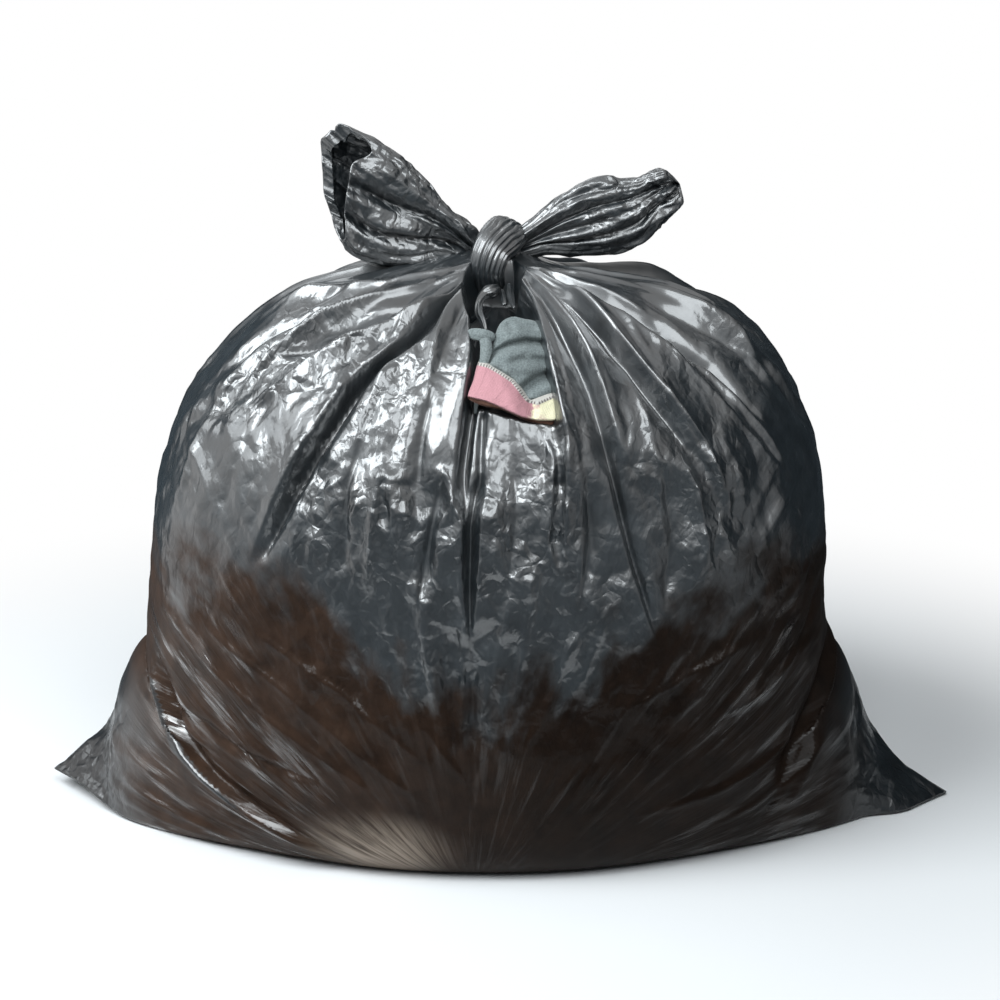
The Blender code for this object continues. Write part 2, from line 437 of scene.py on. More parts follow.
@dataclass(frozen=True)
class SackForm:
    """The filled sack without its folds, as a surface over bearing and drop.

    A bearing is an angle in degrees round the sack, 0 at the front and positive to the right. A drop is a
    distance in metres along the film, down from the knot.
    """

    half_width: float = 0.776 * SACK_HIGH.x
    half_depth: float = 0.965 * SACK_HIGH.y
    corner_tip: float = SACK_HIGH.x
    dome_top: float = 0.796 * SACK_HIGH.z
    widest: float = 0.284 * SACK_HIGH.z
    plan_power: float = 2.15
    dome_power: float = 2.6
    side_height_power: float = 0.57
    side_girth_power: float = 0.15
    shoulder_height: float = 0.122
    shoulder_reach: float = 0.047
    shoulder_spread: float = 27.0
    fin_height: float = 0.056
    right_fin: float = 1.35
    fin_rise: float = 0.012
    fin_spread: float = 7.0
    fin_from: tuple[float, float] = (0.285, 0.330)
    right_fin_forward: float = 0.022
    dome_shift: float = 0.007
    neck_rise: float = 0.014
    neck_spread: float = 0.050
    steps: int = 300

    def profile(self) -> tuple[Array, Array, Array, int]:
        """The meridian from the knot to the middle of the underside.

        Returns:
            The share of the full girth, the height and the drop at each step, and the widest step's number.
        """
        turn = np.linspace(0.0, math.pi / 2, self.steps)
        dome_girth = np.sin(turn) ** (2 / self.dome_power)
        dome_height = self.widest + (self.dome_top - self.widest) * np.cos(turn) ** (2 / self.dome_power)
        side_girth = np.cos(turn[1:]) ** self.side_girth_power
        side_height = self.widest * (1.0 - 1.03 * np.sin(turn[1:]) ** self.side_height_power)
        girth = np.concatenate([dome_girth, side_girth])
        height = np.concatenate([dome_height, np.maximum(side_height, 0.0)])
        radius = (self.half_width + self.half_depth) / 2
        lengths = np.hypot(np.diff(girth) * radius, np.diff(height))
        return girth, height, np.concatenate([[0.0], np.cumsum(lengths)]), self.steps - 1

    def plan(self, bearing: Array) -> Array:
        """The radius of the widest girth at each bearing.

        Args:
            bearing: bearings in degrees.

        Returns:
            Radii in metres.
        """
        across = np.abs(np.sin(np.radians(bearing))) / self.half_width
        along = np.abs(np.cos(np.radians(bearing))) / self.half_depth
        return (across**self.plan_power + along**self.plan_power) ** (-1 / self.plan_power)

    def place(self, bearing: Array, drop: Array) -> Array:
        """Where the film lies at each bearing and drop.

        Args:
            bearing: bearings in degrees.
            drop: distances down the film.

        Returns:
            Positions.
        """
        girths, heights, drops, widest = self.profile()
        girth = np.interp(drop, drops, girths)
        height = np.interp(drop, drops, heights)
        low = drop > drops[widest]
        off_corner = np.abs(90.0 - np.abs(bearing))
        shoulder = np.exp(-((off_corner / self.shoulder_spread) ** 2))
        standing = np.where(low & (height > 0.0), 1.0, 0.0)
        girth = girth + standing * (1.0 - girth) * shoulder
        fin = self.corner_tip - self.half_width - self.shoulder_reach * 0.8
        fin = fin * np.where(bearing > 0.0, self.right_fin, 1.0)
        top = self.shoulder_height * (1.0 - 0.45 * smooth(off_corner, 0.0, 36.0))
        reach = self.shoulder_reach * np.maximum(0.0, 1.0 - height / top) ** 0.6 * shoulder
        flat = np.maximum(0.0, 1.0 - height / self.fin_height) ** 1.7
        reach += fin * flat * np.exp(-off_corner / self.fin_spread)
        under = np.where(height > 0.0, 1.0, girth)
        radius = self.plan(bearing) * girth + np.where(low, reach * under, 0.0)
        height = height + self.neck_rise * np.exp(-((radius / self.neck_spread) ** 2))
        rise = np.where(bearing < 0.0, smooth(radius, *self.fin_from), 0.0) * smooth(off_corner, 40.0, 10.0)
        height = height + self.fin_rise * rise
        shift = self.dome_shift * np.clip((height - self.widest) / (self.dome_top - self.widest), 0.0, 1.0)
        turn = np.radians(bearing)
        forward = self.right_fin_forward * smooth(radius * np.sin(turn), *self.fin_from)
        return join(radius * np.sin(turn) + shift, -radius * np.cos(turn) - forward, height)

    def normals(self, bearing: Array, drop: Array) -> Array:
        """The outward directions of the surface.

        Args:
            bearing: bearings in degrees.
            drop: distances down the film.

        Returns:
            Vectors of a length of one.
        """
        step_round = self.place(bearing + 0.4, drop) - self.place(bearing - 0.4, drop)
        above, below = np.maximum(drop - 1.5 * MM, 0.0), drop + 1.5 * MM
        step_down = self.place(bearing, below) - self.place(bearing, above)
        return unit_vectors(np.cross(step_down, step_round))


@dataclass(frozen=True)
class Fold:
    """One crease in the film: a ridge, or a valley where its height is negative."""

    path: Line
    height: float
    left: float
    right: float
    crest: float = 1.5 * MM
    ramp: float = 0.035

    def lift(self, film: Film) -> Array:
        """How far the fold moves the film along its outward direction.

        Args:
            film: the film's points.

        Returns:
            Lifts in metres.
        """
        bearings, drops = np.array(self.path, float).T
        lifts = np.zeros(film.drop.shape)
        reached = (film.drop > drops[0]) & (film.drop < drops[-1])
        drop, radius = film.drop[reached], film.radius[reached]
        lean = np.radians(np.interp(drop, drops, np.gradient(bearings, drops))) * radius
        off = film.off(np.interp(film.drop, drops, bearings))[reached]
        distance = np.radians(off) * radius / np.sqrt(1.0 + lean**2)
        near = np.abs(distance) < 8.0 * max(self.left, self.right)
        reached[reached] = near
        drop, radius, distance = drop[near], radius[near], distance[near]
        begun = smooth(drop, drops[0], drops[0] + self.ramp)
        ended = 1.0 - ((drop - drops[0]) / (drops[-1] - drops[0])) ** 5
        squeeze = np.clip(radius / 0.14, 0.12, 1.0) ** 0.75
        flank = np.where(distance < 0.0, self.left, self.right) * squeeze * (0.35 + 0.65 * ended)
        crest = self.crest * squeeze
        away = np.sqrt(distance**2 + crest**2) - crest
        lifts[reached] = self.height * begun * ended * squeeze * np.exp(-away / flank)
        return lifts


def crease(path: Line, height: float, left: float, right: float, ramp: float = 0.03) -> Fold:
    """A fold with its height and flanks in millimetres."""
    return Fold(path, height * MM, left * MM, right * MM, ramp=ramp)


# The bright crest of the corner flap at the lower left.
CORNER_CREST = Fold(
    ((-77, 0.425), (-71, 0.458), (-68, 0.478), (-63, 0.495), (-55, 0.510), (-42, 0.540), (-34, 0.560)),
    8 * MM, 15 * MM, 2.2 * MM, crest=0.5 * MM, ramp=0.03,
)

# The gathers that show from the front, each as bearings in degrees and drops in metres from the knot down,
# with its height and the widths of its left and right flanks in millimetres.
FRONT_FOLDS = (
    # the left fan: broad ridges with deep valleys between them
    crease(((-34, 0.03), (-55, 0.06), (-70, 0.09), (-82, 0.13), (-88, 0.18)), 9, 12, 5),
    crease(((-30, 0.04), (-50, 0.08), (-62, 0.11), (-72, 0.15), (-76, 0.21)), -10, 4, 6),
    crease(((-26, 0.04), (-45, 0.07), (-54, 0.10), (-61, 0.14), (-65, 0.22)), 15, 11, 3.5),
    crease(((-24, 0.05), (-33, 0.09), (-46, 0.12), (-56, 0.15), (-61, 0.18)), -19, 4.5, 6),
    crease(((-20, 0.04), (-26, 0.09), (-36, 0.12), (-47, 0.16), (-61, 0.23)), 12, 3.5, 11),
    crease(((-17, 0.04), (-23, 0.08), (-29, 0.13), (-36, 0.18), (-39, 0.23), (-46, 0.33)), -19, 2.6, 6),
    crease(((-30, 0.13), (-38, 0.18), (-41, 0.23), (-48, 0.33)), 7, 9, 1.8),
    crease(((-14, 0.04), (-20, 0.08), (-22, 0.14), (-31, 0.17), (-36, 0.21)), 7, 2.5, 18),
    # the flap to the left of the gap, its channel and the creases below it
    crease(((-9, 0.05), (-11, 0.10), (-9, 0.14), (-8, 0.22), (-9, 0.29)), 9, 18, 2),
    crease(((-15, 0.09), (-16, 0.13), (-17, 0.18)), -5, 4, 4),
    crease(((-6, 0.17), (-6.5, 0.21), (-7, 0.25), (-6, 0.29)), -11, 3, 3, ramp=0.02),
    crease(((-3.5, 0.20), (-3.4, 0.24), (-2.8, 0.28)), -4, 1.5, 1.5, ramp=0.01),
    crease(((-3.5, 0.25), (-4.8, 0.29), (-4.6, 0.33), (-4.1, 0.37)), -8, 1.8, 1.8, ramp=0.02),
    crease(((-6.8, 0.26), (-6.6, 0.30), (-6.0, 0.34), (-4.4, 0.38)), 4, 5, 1.5, ramp=0.02),
    crease(((-1.8, 0.26), (-2.6, 0.30), (-2.8, 0.34), (-3.8, 0.38)), 4, 1.5, 7, ramp=0.02),
    crease(((-4.0, 0.35), (-3.3, 0.42), (-3.4, 0.50)), -2, 1.2, 2.0),
    crease(((4, 0.33), (2, 0.38), (-1, 0.43)), 4, 5, 6),
    crease(((18, 0.36), (14, 0.40), (9, 0.45)), 4, 6, 5),
    crease(((24, 0.34), (21, 0.38), (16, 0.42)), 4, 4, 6),
    crease(((-14, 0.34), (-13, 0.38), (-10, 0.43)), 4, 6, 5),
    crease(((-30, 0.22), (-31, 0.27), (-29, 0.33)), -5, 6, 4),
    crease(((-24.3, 0.24), (-24.6, 0.29), (-24.2, 0.35)), 5, 5, 2, ramp=0.02),
    crease(((-23, 0.25), (-21, 0.28), (-19, 0.31)), 4, 2, 6, ramp=0.01),
    crease(((-17, 0.18), (-17, 0.24), (-16, 0.30)), -5, 5, 3),
    crease(((-12, 0.245), (-9.5, 0.265), (-6.8, 0.29)), 4, 3, 3, ramp=0.01),
    crease(((-11, 0.25), (-12.5, 0.28), (-14.5, 0.35)), -6, 3, 4, ramp=0.02),
    # below the gap and to its right
    crease(((4, 0.23), (5, 0.28), (3, 0.34)), -4, 5, 6),
    crease(((11.2, 0.22), (12.8, 0.24), (12.2, 0.27), (11, 0.30), (13.5, 0.33)), 5, 4, 2, ramp=0.02),
    crease(((15, 0.035), (16, 0.10), (15, 0.17), (16, 0.23), (15, 0.28), (14, 0.33)), 12, 2, 14),
    crease(((18, 0.05), (21, 0.13), (24, 0.19), (25.5, 0.25), (28, 0.31), (33, 0.39)), -10, 6, 3),
    crease(((24, 0.24), (25, 0.28), (28, 0.33), (33, 0.39)), 5, 8, 1.5, ramp=0.02),
    crease(((20, 0.26), (20, 0.31), (17, 0.36)), -5, 5, 5, ramp=0.02),
    # the right fan: ridges with sharp left-hand crests and long right-hand flanks
    crease(((19, 0.04), (20, 0.10), (21, 0.13), (23.5, 0.17)), 5, 2, 5),
    crease(((20, 0.035), (24, 0.12), (26, 0.16), (28, 0.25)), 10, 2.5, 14),
    crease(((28, 0.03), (36, 0.08), (36.5, 0.15), (41, 0.195), (46, 0.24), (49, 0.30)), 11, 2.5, 16),
    crease(((25, 0.05), (32, 0.11), (34, 0.16), (38, 0.20), (43, 0.25)), -8, 6, 3),
    crease(((40, 0.19), (43, 0.225), (46, 0.255), (48.3, 0.285)), 4, 3, 1.5, ramp=0.02),
    crease(((29, 0.03), (44, 0.06), (52, 0.095), (60, 0.13)), 10, 4, 10),
    crease(((36, 0.05), (45, 0.10), (56, 0.14), (61, 0.18), (64, 0.24)), -15, 6, 8),
    crease(((33, 0.08), (43, 0.13), (50, 0.165), (55, 0.215), (64, 0.28)), 8, 10, 3),
    crease(((57, 0.17), (60, 0.205), (62, 0.235), (64.5, 0.275)), 5, 2, 8, ramp=0.02),
    crease(((50, 0.025), (72, 0.06), (75, 0.10), (74, 0.17)), 6, 4, 10),
    crease(((66, 0.10), (70, 0.15), (76, 0.20), (80, 0.26)), -6, 6, 5),
    crease(((73, 0.12), (76, 0.17), (80, 0.22), (84, 0.28)), 3.5, 3, 8),
    crease(((36, 0.25), (37, 0.30), (34, 0.36)), -6, 5, 6),
    crease(((40, 0.24), (42, 0.275), (43, 0.34)), 5, 4, 4, ramp=0.02),
    # the corners at the ground
    CORNER_CREST,
    crease(tuple((bearing + 3, drop) for bearing, drop in CORNER_CREST.path), -7, 2, 6),
    crease(((-63, 0.455), (-52, 0.474), (-43, 0.481), (-34, 0.490)), -4, 5, 1.5, ramp=0.01),
    crease(((-69, 0.461), (-63.4, 0.472), (-58, 0.486)), 4, 2, 2, ramp=0.01),
    # long wrinkles across the lower half, drawn towards the middle of the bottom
    crease(((-62, 0.374), (-39, 0.424), (-13, 0.500)), 3, 7, 2, ramp=0.02),
    crease(((-72, 0.372), (-56, 0.415), (-36, 0.462), (-20, 0.500)), 3, 8, 2, ramp=0.02),
    crease(((-50, 0.372), (-30, 0.415), (-12, 0.470)), 2.5, 6, 1.5, ramp=0.02),
    crease(((-16, 0.422), (-4, 0.484)), 2.5, 5, 1.5, ramp=0.02),
    crease(((53, 0.387), (40, 0.405), (29, 0.427)), 3, 1.5, 6, ramp=0.01),
    crease(((68, 0.405), (58, 0.425), (46, 0.446)), 4, 1.8, 8, ramp=0.01),
    crease(((64, 0.462), (60, 0.484), (46, 0.503), (30, 0.517)), 4, 1.8, 6, ramp=0.02),
    crease(((72, 0.480), (60, 0.515), (46, 0.535)), 4, 1.5, 6, ramp=0.02),
    crease(((74, 0.37), (68, 0.40), (60, 0.43)), -3, 3, 3, ramp=0.02),
    crease(((86, 0.42), (78, 0.45), (70, 0.475), (65, 0.50), (60, 0.54)), 7, 3, 22, ramp=0.02),
    crease(((82, 0.42), (74, 0.45), (66, 0.475), (61, 0.50), (56, 0.54)), -6, 9, 3, ramp=0.02),
)


@dataclass(frozen=True)
class Bulge:
    """A place where the refuse pushes the film out, or where it is hollow."""

    bearing: float
    drop: float
    spread: float
    height: float

    def lift(self, film: Film) -> Array:
        """How far the film stands out at each point."""
        across = np.radians(film.off(self.bearing)) * film.radius
        return self.height * np.exp(-(across**2 + (film.drop - self.drop) ** 2) / self.spread**2)


BULGES = (
    Bulge(-100, 0.140, 0.070, 2 * MM),
    Bulge(-88, 0.300, 0.110, 1 * MM),
    Bulge(88, 0.200, 0.070, 5 * MM),
    Bulge(90, 0.360, 0.080, -7 * MM),
    Bulge(112, 0.085, 0.060, -9 * MM),
    Bulge(-30, 0.230, 0.060, 6 * MM),
    Bulge(30, 0.200, 0.070, 5 * MM),
    Bulge(0, 0.300, 0.060, 4 * MM),
    Bulge(-130, 0.060, 0.050, 5 * MM),
    Bulge(-60, 0.330, 0.070, 3 * MM),
    Bulge(150, 0.180, 0.090, 6 * MM),
    Bulge(-165, 0.260, 0.080, 9 * MM),
    Bulge(120, 0.300, 0.070, 6 * MM),
)


@dataclass(frozen=True)
class Gap:
    """The opening in the gathers below the knot, where the garment shows."""

    left_edge: Line = ((-40, 0.03), (-23, 0.075), (-12, 0.12), (-8, 0.16), (-7, 0.20), (-5, 0.23))
    right_edge: Line = ((34, 0.03), (15, 0.07), (15, 0.11), (15, 0.20), (14.5, 0.23))
    top: float = 0.032
    foot: float = 0.200
    foot_slant: float = 0.0009
    depth: float = 0.034
    wall: float = 3.5 * MM

    def sink(self, film: Film) -> Array:
        """How far the film is turned in at each point.

        Args:
            film: the film's points.

        Returns:
            Depths in metres.
        """
        foot = self.foot + self.foot_slant * film.bearing
        share = smooth(film.drop, self.top - 0.012, self.top + 0.010)
        share = share * smooth(film.drop - foot, 0.007, -0.007)
        for edge, side in ((self.left_edge, 1.0), (self.right_edge, -1.0)):
            bearings, drops = zip(*edge)
            inside = side * np.radians(film.bearing - np.interp(film.drop, drops, bearings)) * film.radius
            share = share * smooth(inside, 0.0, self.wall)
        return self.depth * share

    def tucked(self, film: Film) -> Array:
        """How much of the way in the film is, from 0 to 1, which dims its bright skin as painted shade."""
        return smooth(self.sink(film), 0.15 * self.depth, 0.6 * self.depth)


@dataclass
class SackBody:
    """The filled part of the sack, from the knot down to the ground.

    What fades in or out does so from its first number to its second, as a drop, a distance from the axis or
    a height.
    """

    form: SackForm = SackForm()
    gap: Gap = Gap()
    columns: int = 640
    rows: int = 380
    front_density: float = 0.42
    loose_folds: int = 64
    seed: int = 11
    girth: float = 0.240
    gathers_end: float = 0.21
    focus: tuple[float, float] = (-0.012, 0.010)
    focus_depth: float = 0.030
    sag: float = 1.15
    bulge: float = 4.0 * MM
    tight_from: tuple[float, float] = (0.30, 0.42)
    flowing_from: tuple[float, float] = (0.17, 0.26)
    folded_under: tuple[float, float] = (0.58, 0.54)
    corner_from: tuple[float, float] = (0.272, 0.306)
    corner_below: tuple[float, float] = (0.17, 0.11)
    rubbed_from: tuple[float, float] = (5.8 * MM, 7.2 * MM)

    def points(self, around: Array, share: Array) -> Film:
        """Spreads the points of the grid over the film, closer together at the front and on the dome.

        Args:
            around: shares of the way round, starting at the back.
            share: shares of the way down the film.

        Returns:
            The film's points.
        """
        turn = (around - 0.5) * 2 * math.pi
        bearing = np.degrees(turn - self.front_density * np.sin(turn))
        total = self.form.profile()[2][-1]
        drop = np.interp(share, (0.0, 0.08, 0.88, 1.0), (0.0, 0.045, 0.575, total))
        place = self.form.place(bearing, drop)
        return Film(bearing, drop, np.hypot(place[:, 0], place[:, 1]), place)

    def random_folds(self) -> list[Fold]:
        """Gathers all the way round, weak in front where the named ones are.

        Returns:
            The folds.
        """
        draw = np.random.default_rng(self.seed)
        folds = []
        for index in range(self.loose_folds):
            bearing = -180.0 + 360.0 * (index + draw.uniform(0.1, 0.9)) / self.loose_folds
            shown = 0.35 if abs(bearing) < 80.0 else 1.0
            length = draw.uniform(0.10, 0.33)
            bend = draw.uniform(-12.0, 12.0)
            sign = 1.0 if draw.random() < 0.55 else -1.0
            height = sign * draw.uniform(4.0, 10.0) * shown
            start = draw.uniform(0.02, 0.05)
            shares = ((0.0, 0.0), (0.6, 0.45), (1.0, 1.0))
            path = tuple((bearing + bend * turned, start + length * down) for turned, down in shares)
            left, right = draw.uniform(3.0, 10.0), draw.uniform(3.0, 10.0)
            folds.append(crease(path, height, left, right, ramp=0.035))
        return folds

    def folded(self, film: Film) -> tuple[Array, Array]:
        """How far folds, refuse and gap move the film, and how far the named valleys draw it in.

        Args:
            film: the film's points.

        Returns:
            Lifts and depths in metres.
        """
        lift = -self.gap.sink(film)
        drawn = np.zeros(lift.shape)
        for fold in FRONT_FOLDS:
            step = fold.lift(film)
            lift += step
            drawn += np.abs(np.minimum(step, 0.0))
        for fold in (*self.random_folds(), *BULGES):
            lift += fold.lift(film)
        return lift, drawn

    def crumple(self, film: Film) -> Array:
        """Flat facets between sharp creases, where the film is slack between the folds.

        Args:
            film: the film's points.

        Returns:
            Lifts in metres.
        """
        turn = np.radians(film.bearing)
        ring = join(np.cos(turn) * self.girth, np.sin(turn) * self.girth, film.drop)
        total = np.zeros(turn.shape)
        for around, length, height, salt in ((40, 0.048, 3.8, 3), (76, 0.026, 2.7, 5), (140, 0.014, 1.3, 7)):
            size = 2 * math.pi * self.girth / around
            push = soft_noise(ring / size, salt + 20) * 0.55
            pull = soft_noise(ring / size + 9.3, salt + 21) * 0.55
            across = (turn / (2 * math.pi) + 0.5) * around + push
            total += facets(across, film.drop / length + pull, around, salt) * height * MM
        return total

    def looseness(self, film: Film, drawn: Array) -> Array:
        """How slack the film is.

        Args:
            film: the film's points.
            drawn: how far the named valleys draw them in.

        Returns:
            Shares from 0 where the film is tight to 1 where it is loose.
        """
        aside, drop = np.abs(film.bearing), film.drop
        calm = 1.0 - 0.8 * smooth(drawn, 1.0 * MM, 6.0 * MM)
        patch = 0.5 + 0.5 * layered_noise(film.place * 11.0, 60, 2)
        smoother = band(film.bearing, 8.0, 18.0, 80.0, 110.0) * smooth(drop, 0.27, 0.23)
        facing = np.maximum(smooth(aside, 102.0, 66.0), 0.8 * smooth(aside, 112.0, 138.0))
        middle = band(drop, 0.08, 0.17, 0.32, 0.42) * (0.36 + 0.64 * smooth(patch, 0.28, 0.6))
        middle = middle * (1.0 - 0.45 * smoother) * calm * facing
        hanging = smooth(aside, 52.0, 30.0) * band(drop, 0.27, 0.33, 0.41, 0.49)
        flank = smooth(np.abs(aside - 90.0), 26.0, 6.0) * band(drop, 0.12, 0.18, 0.38, 0.45)
        flank = flank * (0.20 + 0.35 * smooth(patch, 0.35, 0.65))
        return np.maximum(np.maximum(middle, 0.7 * hanging * calm), flank)

    def tension(self, place: Array) -> Array:
        """The grain of the tight film, which hangs from the sides and is drawn together at the bottom.

        Args:
            place: positions on the film.

        Returns:
            Distances across and along the grain, and which side of the sack it is.
        """
        front = np.where(place[:, 1] < 0.0, 1.0, -1.0)
        across = place[:, 0] - self.focus[0]
        upward = place[:, 2] - self.focus[1] + self.focus_depth
        hang = np.sign(across) * np.abs(across) ** self.sag * 0.2 ** (1.0 - self.sag)
        return join(np.arctan2(upward, hang) * self.girth, np.hypot(upward, across), front)

    def streaks(self, grain: Array, place: Array) -> Array:
        """Long low wrinkles along the grain, in some places strong and in others hardly there.

        Args:
            grain: distances across and along the grain, and the side of the sack.
            place: positions on the film.

        Returns:
            Lifts in metres.
        """
        points = grain * (1 / 0.013, 1 / 0.12, 7.0)
        coarse = 1.0 - np.abs(soft_noise(points, 31)) * 2.0
        fine = 1.0 - np.abs(soft_noise(points * (2.6, 1.9, 1.0), 32)) * 2.0
        strong = smooth(layered_noise(place * 13.0, 33, 2) - 1.2 * place[:, 0], -0.15, 0.45)
        return (coarse * 2.4 * strong + fine * (0.2 + 0.4 * strong)) * MM * smooth(grain[:, 1], 0.06, 0.20)

    def surface(self, around: Array, share: Array) -> tuple[Array, Weave]:
        """Lays the film of the body.

        Args:
            around: shares of the way round, starting at the back.
            share: shares of the way down the film, from inside the knot to the middle of the bottom.

        Returns:
            Positions, and what the finish reads.
        """
        film = self.points(around, share)
        aside, drop, radius, height = np.abs(film.bearing), film.drop, film.radius, film.place[:, 2]
        lift, drawn = self.folded(film)
        slack = self.looseness(film, drawn)
        crumple = self.crumple(film)
        lift += crumple * (0.10 + 0.90 * slack) * smooth(drop, *self.folded_under) * smooth(drop, 0.0, 0.1)
        lift += layered_noise(film.place * 9.0, 40, 2) * self.bulge * band(drop, 0.08, 0.20, 0.50, 0.57)

        # the streaks of the tight film, which stop short of the sides
        hanging = self.tension(film.place)
        clear = smooth(np.abs(aside - 90.0), 3.0, 24.0)
        flowing = smooth(aside, 40.0, 56.0) * smooth(drop, *self.flowing_from)
        tight = np.maximum(smooth(drop, *self.tight_from), 0.6 * flowing)
        lift += self.streaks(hanging, film.place) * tight * smooth(drop, 0.58, 0.55) * clear

        # the corners, without the painted brown, and crumpled
        corner = smooth(radius, *self.corner_from) * smooth(height, *self.corner_below)
        slack = np.maximum(slack, 0.85 * corner)
        lift += crumple * 0.9 * corner * smooth(height, 0.0, 0.02)
        lift *= band(share, 0.0, 0.02, 0.98, 1.0)
        place = film.place + self.form.normals(film.bearing, drop) * lift[:, None]
        height = place[:, 2] = np.maximum(place[:, 2], 0.0)

        # the left one's crest is rubbed, and the film that stands up at their root is left without the
        # painted brown in patches
        rubbed = smooth(CORNER_CREST.lift(film), *self.rubbed_from) * smooth(drop, 0.55, 0.51)
        upright = smooth(radius, 0.256, 0.292) * band(height, 0.045, 0.070, 0.08, 0.16)
        upright *= 0.5 + 0.5 * smooth(layered_noise(place * 24.0, 61, 2), -0.3, 0.2)
        bare = np.maximum(np.maximum(corner, upright), 2.2 * rubbed)

        # the fine wrinkles run down from the knot, and further down along the streaks
        gathered = join(np.radians(film.bearing) * 0.07, drop, 9.0)
        grain = np.where((drop < self.gathers_end)[:, None], gathered, hanging)
        taut = (0.25 + 0.75 * smooth(layered_noise(place * 14.0, 44, 2), -0.4, 0.5)) * (1.0 - slack)
        taut *= (0.2 + 0.8 * smooth(drop, 0.1, 0.3)) * (0.2 + 0.8 * smooth(grain[:, 1], 0.06, 0.20))
        taut *= smooth(np.abs(drop - self.gathers_end), 0.0, 0.035) * clear
        return place, Weave(grain, slack, self.gap.tucked(film), bare, taut)

    def build(self) -> bpy.types.Object:
        """Builds the body."""
        return lay_sheet("sack_body", self.columns, self.rows, self.surface)


@dataclass
class FreeEnd:
    """A free end of the sack beyond the knot, gathered at the knot and opening outwards.

    A station is x, y, z, half the width, half the thickness and the lean of its top in degrees. A groove is
    its depth and width in millimetres, and its place across the width at the knot, half way and at the end,
    from -1 at the bottom to 1 at the top.
    """

    name: str
    stations: Stations
    grooves: Stations
    open_end: bool
    columns: int = 200
    rows: int = 120
    pleats: int = 9
    length: float = 0.14
    near_cut: float = 0.13
    top_cut: float = 0.07
    foot_cut: float = 0.07
    hem: float = 0.009
    hem_from: float = 0.90
    curl: float = 1.3 * MM
    wall: float = 0.6 * MM
    salt: int = 70

    def sections(self, along: Array) -> tuple[Array, Array, Array, Array]:
        """The middle line, its direction, and the upward and outward half axes along the length.

        Args:
            along: shares of the length.

        Returns:
            The middle, the direction, the upward half axis and the outward one at each share.
        """
        station = spline(self.stations, along)
        direction = heading(self.stations, along, 0.01)
        front = np.broadcast_to((0.0, -1.0, 0.0), direction.shape)
        upright = unit_vectors(np.cross(front, direction))
        upright = upright * np.where(upright[..., 2:3] < 0.0, -1.0, 1.0)
        lean = np.tan(np.radians(station[..., 5]))[..., None]
        upright = unit_vectors(upright + direction * lean)
        return station[..., :3], direction, upright * station[..., 3:4], front * station[..., 4:5]

    def crumple(self, turn: Array, along: Array) -> Array:
        """Pleats that run out from the knot, and flat facets that grow along the length.

        Args:
            turn: angles round the end in radians.
            along: shares of its length.

        Returns:
            Lifts in metres.
        """
        high, near = np.cos(turn), np.sin(turn)
        swing = 2.2 * soft_noise(join(high * 2.0, near * 2.0, along * 1.5), self.salt)
        pleat = 1.0 - 2.0 * np.abs(np.sin(turn * self.pleats / 2 + swing))
        total = pleat * (0.7 + 0.5 * along) * smooth(along, 1.05, 0.55)
        for count, size, height, step in ((9, 0.030, 4.0, 1), (20, 0.015, 2.2, 2), (38, 0.008, 0.9, 3)):
            down, salt = along * self.length / size, self.salt + step
            push = soft_noise(join(high * 4, near * 4, down), salt)
            cells = facets(turn / (2 * math.pi) * count + push, down + push, count, salt)
            total += cells * height * smooth(along, 0.12, 0.5)
        return total * MM

    def hemmed(self, share: Array, near: Array, direction: Array, side: Array) -> Array:
        """How far the film turns in and back at the open end.

        Args:
            share: shares of the way along the end.
            near: how far each point faces the front, from -1 to 1.
            direction: the direction of the middle line.
            side: the outward direction of the film.

        Returns:
            Steps in metres.
        """
        turned = np.clip((share - self.hem_from) / (1.0 - self.hem_from), 0.0, 1.0)
        swing = np.minimum(turned * 2.0, 1.0) * math.pi
        back = np.maximum(turned * 2.0 - 1.0, 0.0) * self.hem * (0.4 + 0.6 * smooth(near, 0.3, -0.3))
        ahead = np.sin(swing) * self.curl - back
        inward = (1.0 - np.cos(swing)) * self.curl + back * 0.25
        return direction * ahead[..., None] - side * inward[..., None]

    def surface(self, around: Array, share: Array) -> tuple[Array, Weave]:
        """Lays the film of the free end.

        Args:
            around: shares of the way round the end, from its top over the near side.
            share: shares of the way along it, from the knot.

        Returns:
            Positions, and what the finish reads.
        """
        turn = around * 2 * math.pi
        high, near = np.cos(turn), np.sin(turn)
        along = share
        if self.open_end:
            cut = self.near_cut * smooth(near, -0.3, 0.7) + self.top_cut * smooth(high, 0.35, 1.0)
            cut += self.foot_cut * smooth(high, -0.5, -1.0)
            along = np.minimum(share / self.hem_from, 1.0) * (1.0 - cut)
        middle, direction, upward, outward = self.sections(along)
        flat_high = np.sign(high) * np.abs(high) ** 0.85
        place = middle + upward * flat_high[..., None] + outward * near[..., None]
        width, thick = (np.linalg.norm(axis, axis=-1, keepdims=True) for axis in (upward, outward))
        side = unit_vectors(upward * high[..., None] / width**2 + outward * near[..., None] / thick**2)
        width = width[..., 0]
        lift = np.zeros(share.shape)
        shown = smooth(near, -0.1, 0.3) * smooth(along, 0.0, 0.25)
        for depth, spread, *lanes in self.grooves:
            lane = np.interp(along, (0.0, 0.5, 1.0), lanes)
            distance = np.abs(flat_high - lane) * width
            lift -= depth * MM * np.exp(-distance / (spread * MM)) * shown
        # how far the grooves are tucked, which dims the bright skin in them as painted shade
        tucked = 0.9 * smooth(lift, -3.0 * MM, -8.0 * MM)
        lift += self.crumple(turn, along)
        lift *= smooth(share, 0.0, 0.05) * (1.0 if self.open_end else smooth(share, 1.0, 0.93))
        place = place + side * lift[..., None]
        if self.open_end:
            place = place + self.hemmed(share, near, direction, side)
        slack = 0.25 + 0.75 * smooth(along, 0.15, 0.5)
        grain = join(turn * width, along * self.length, 0.0)
        return place, Weave(grain, slack, tucked, taut=0.5 * (1.0 - slack))

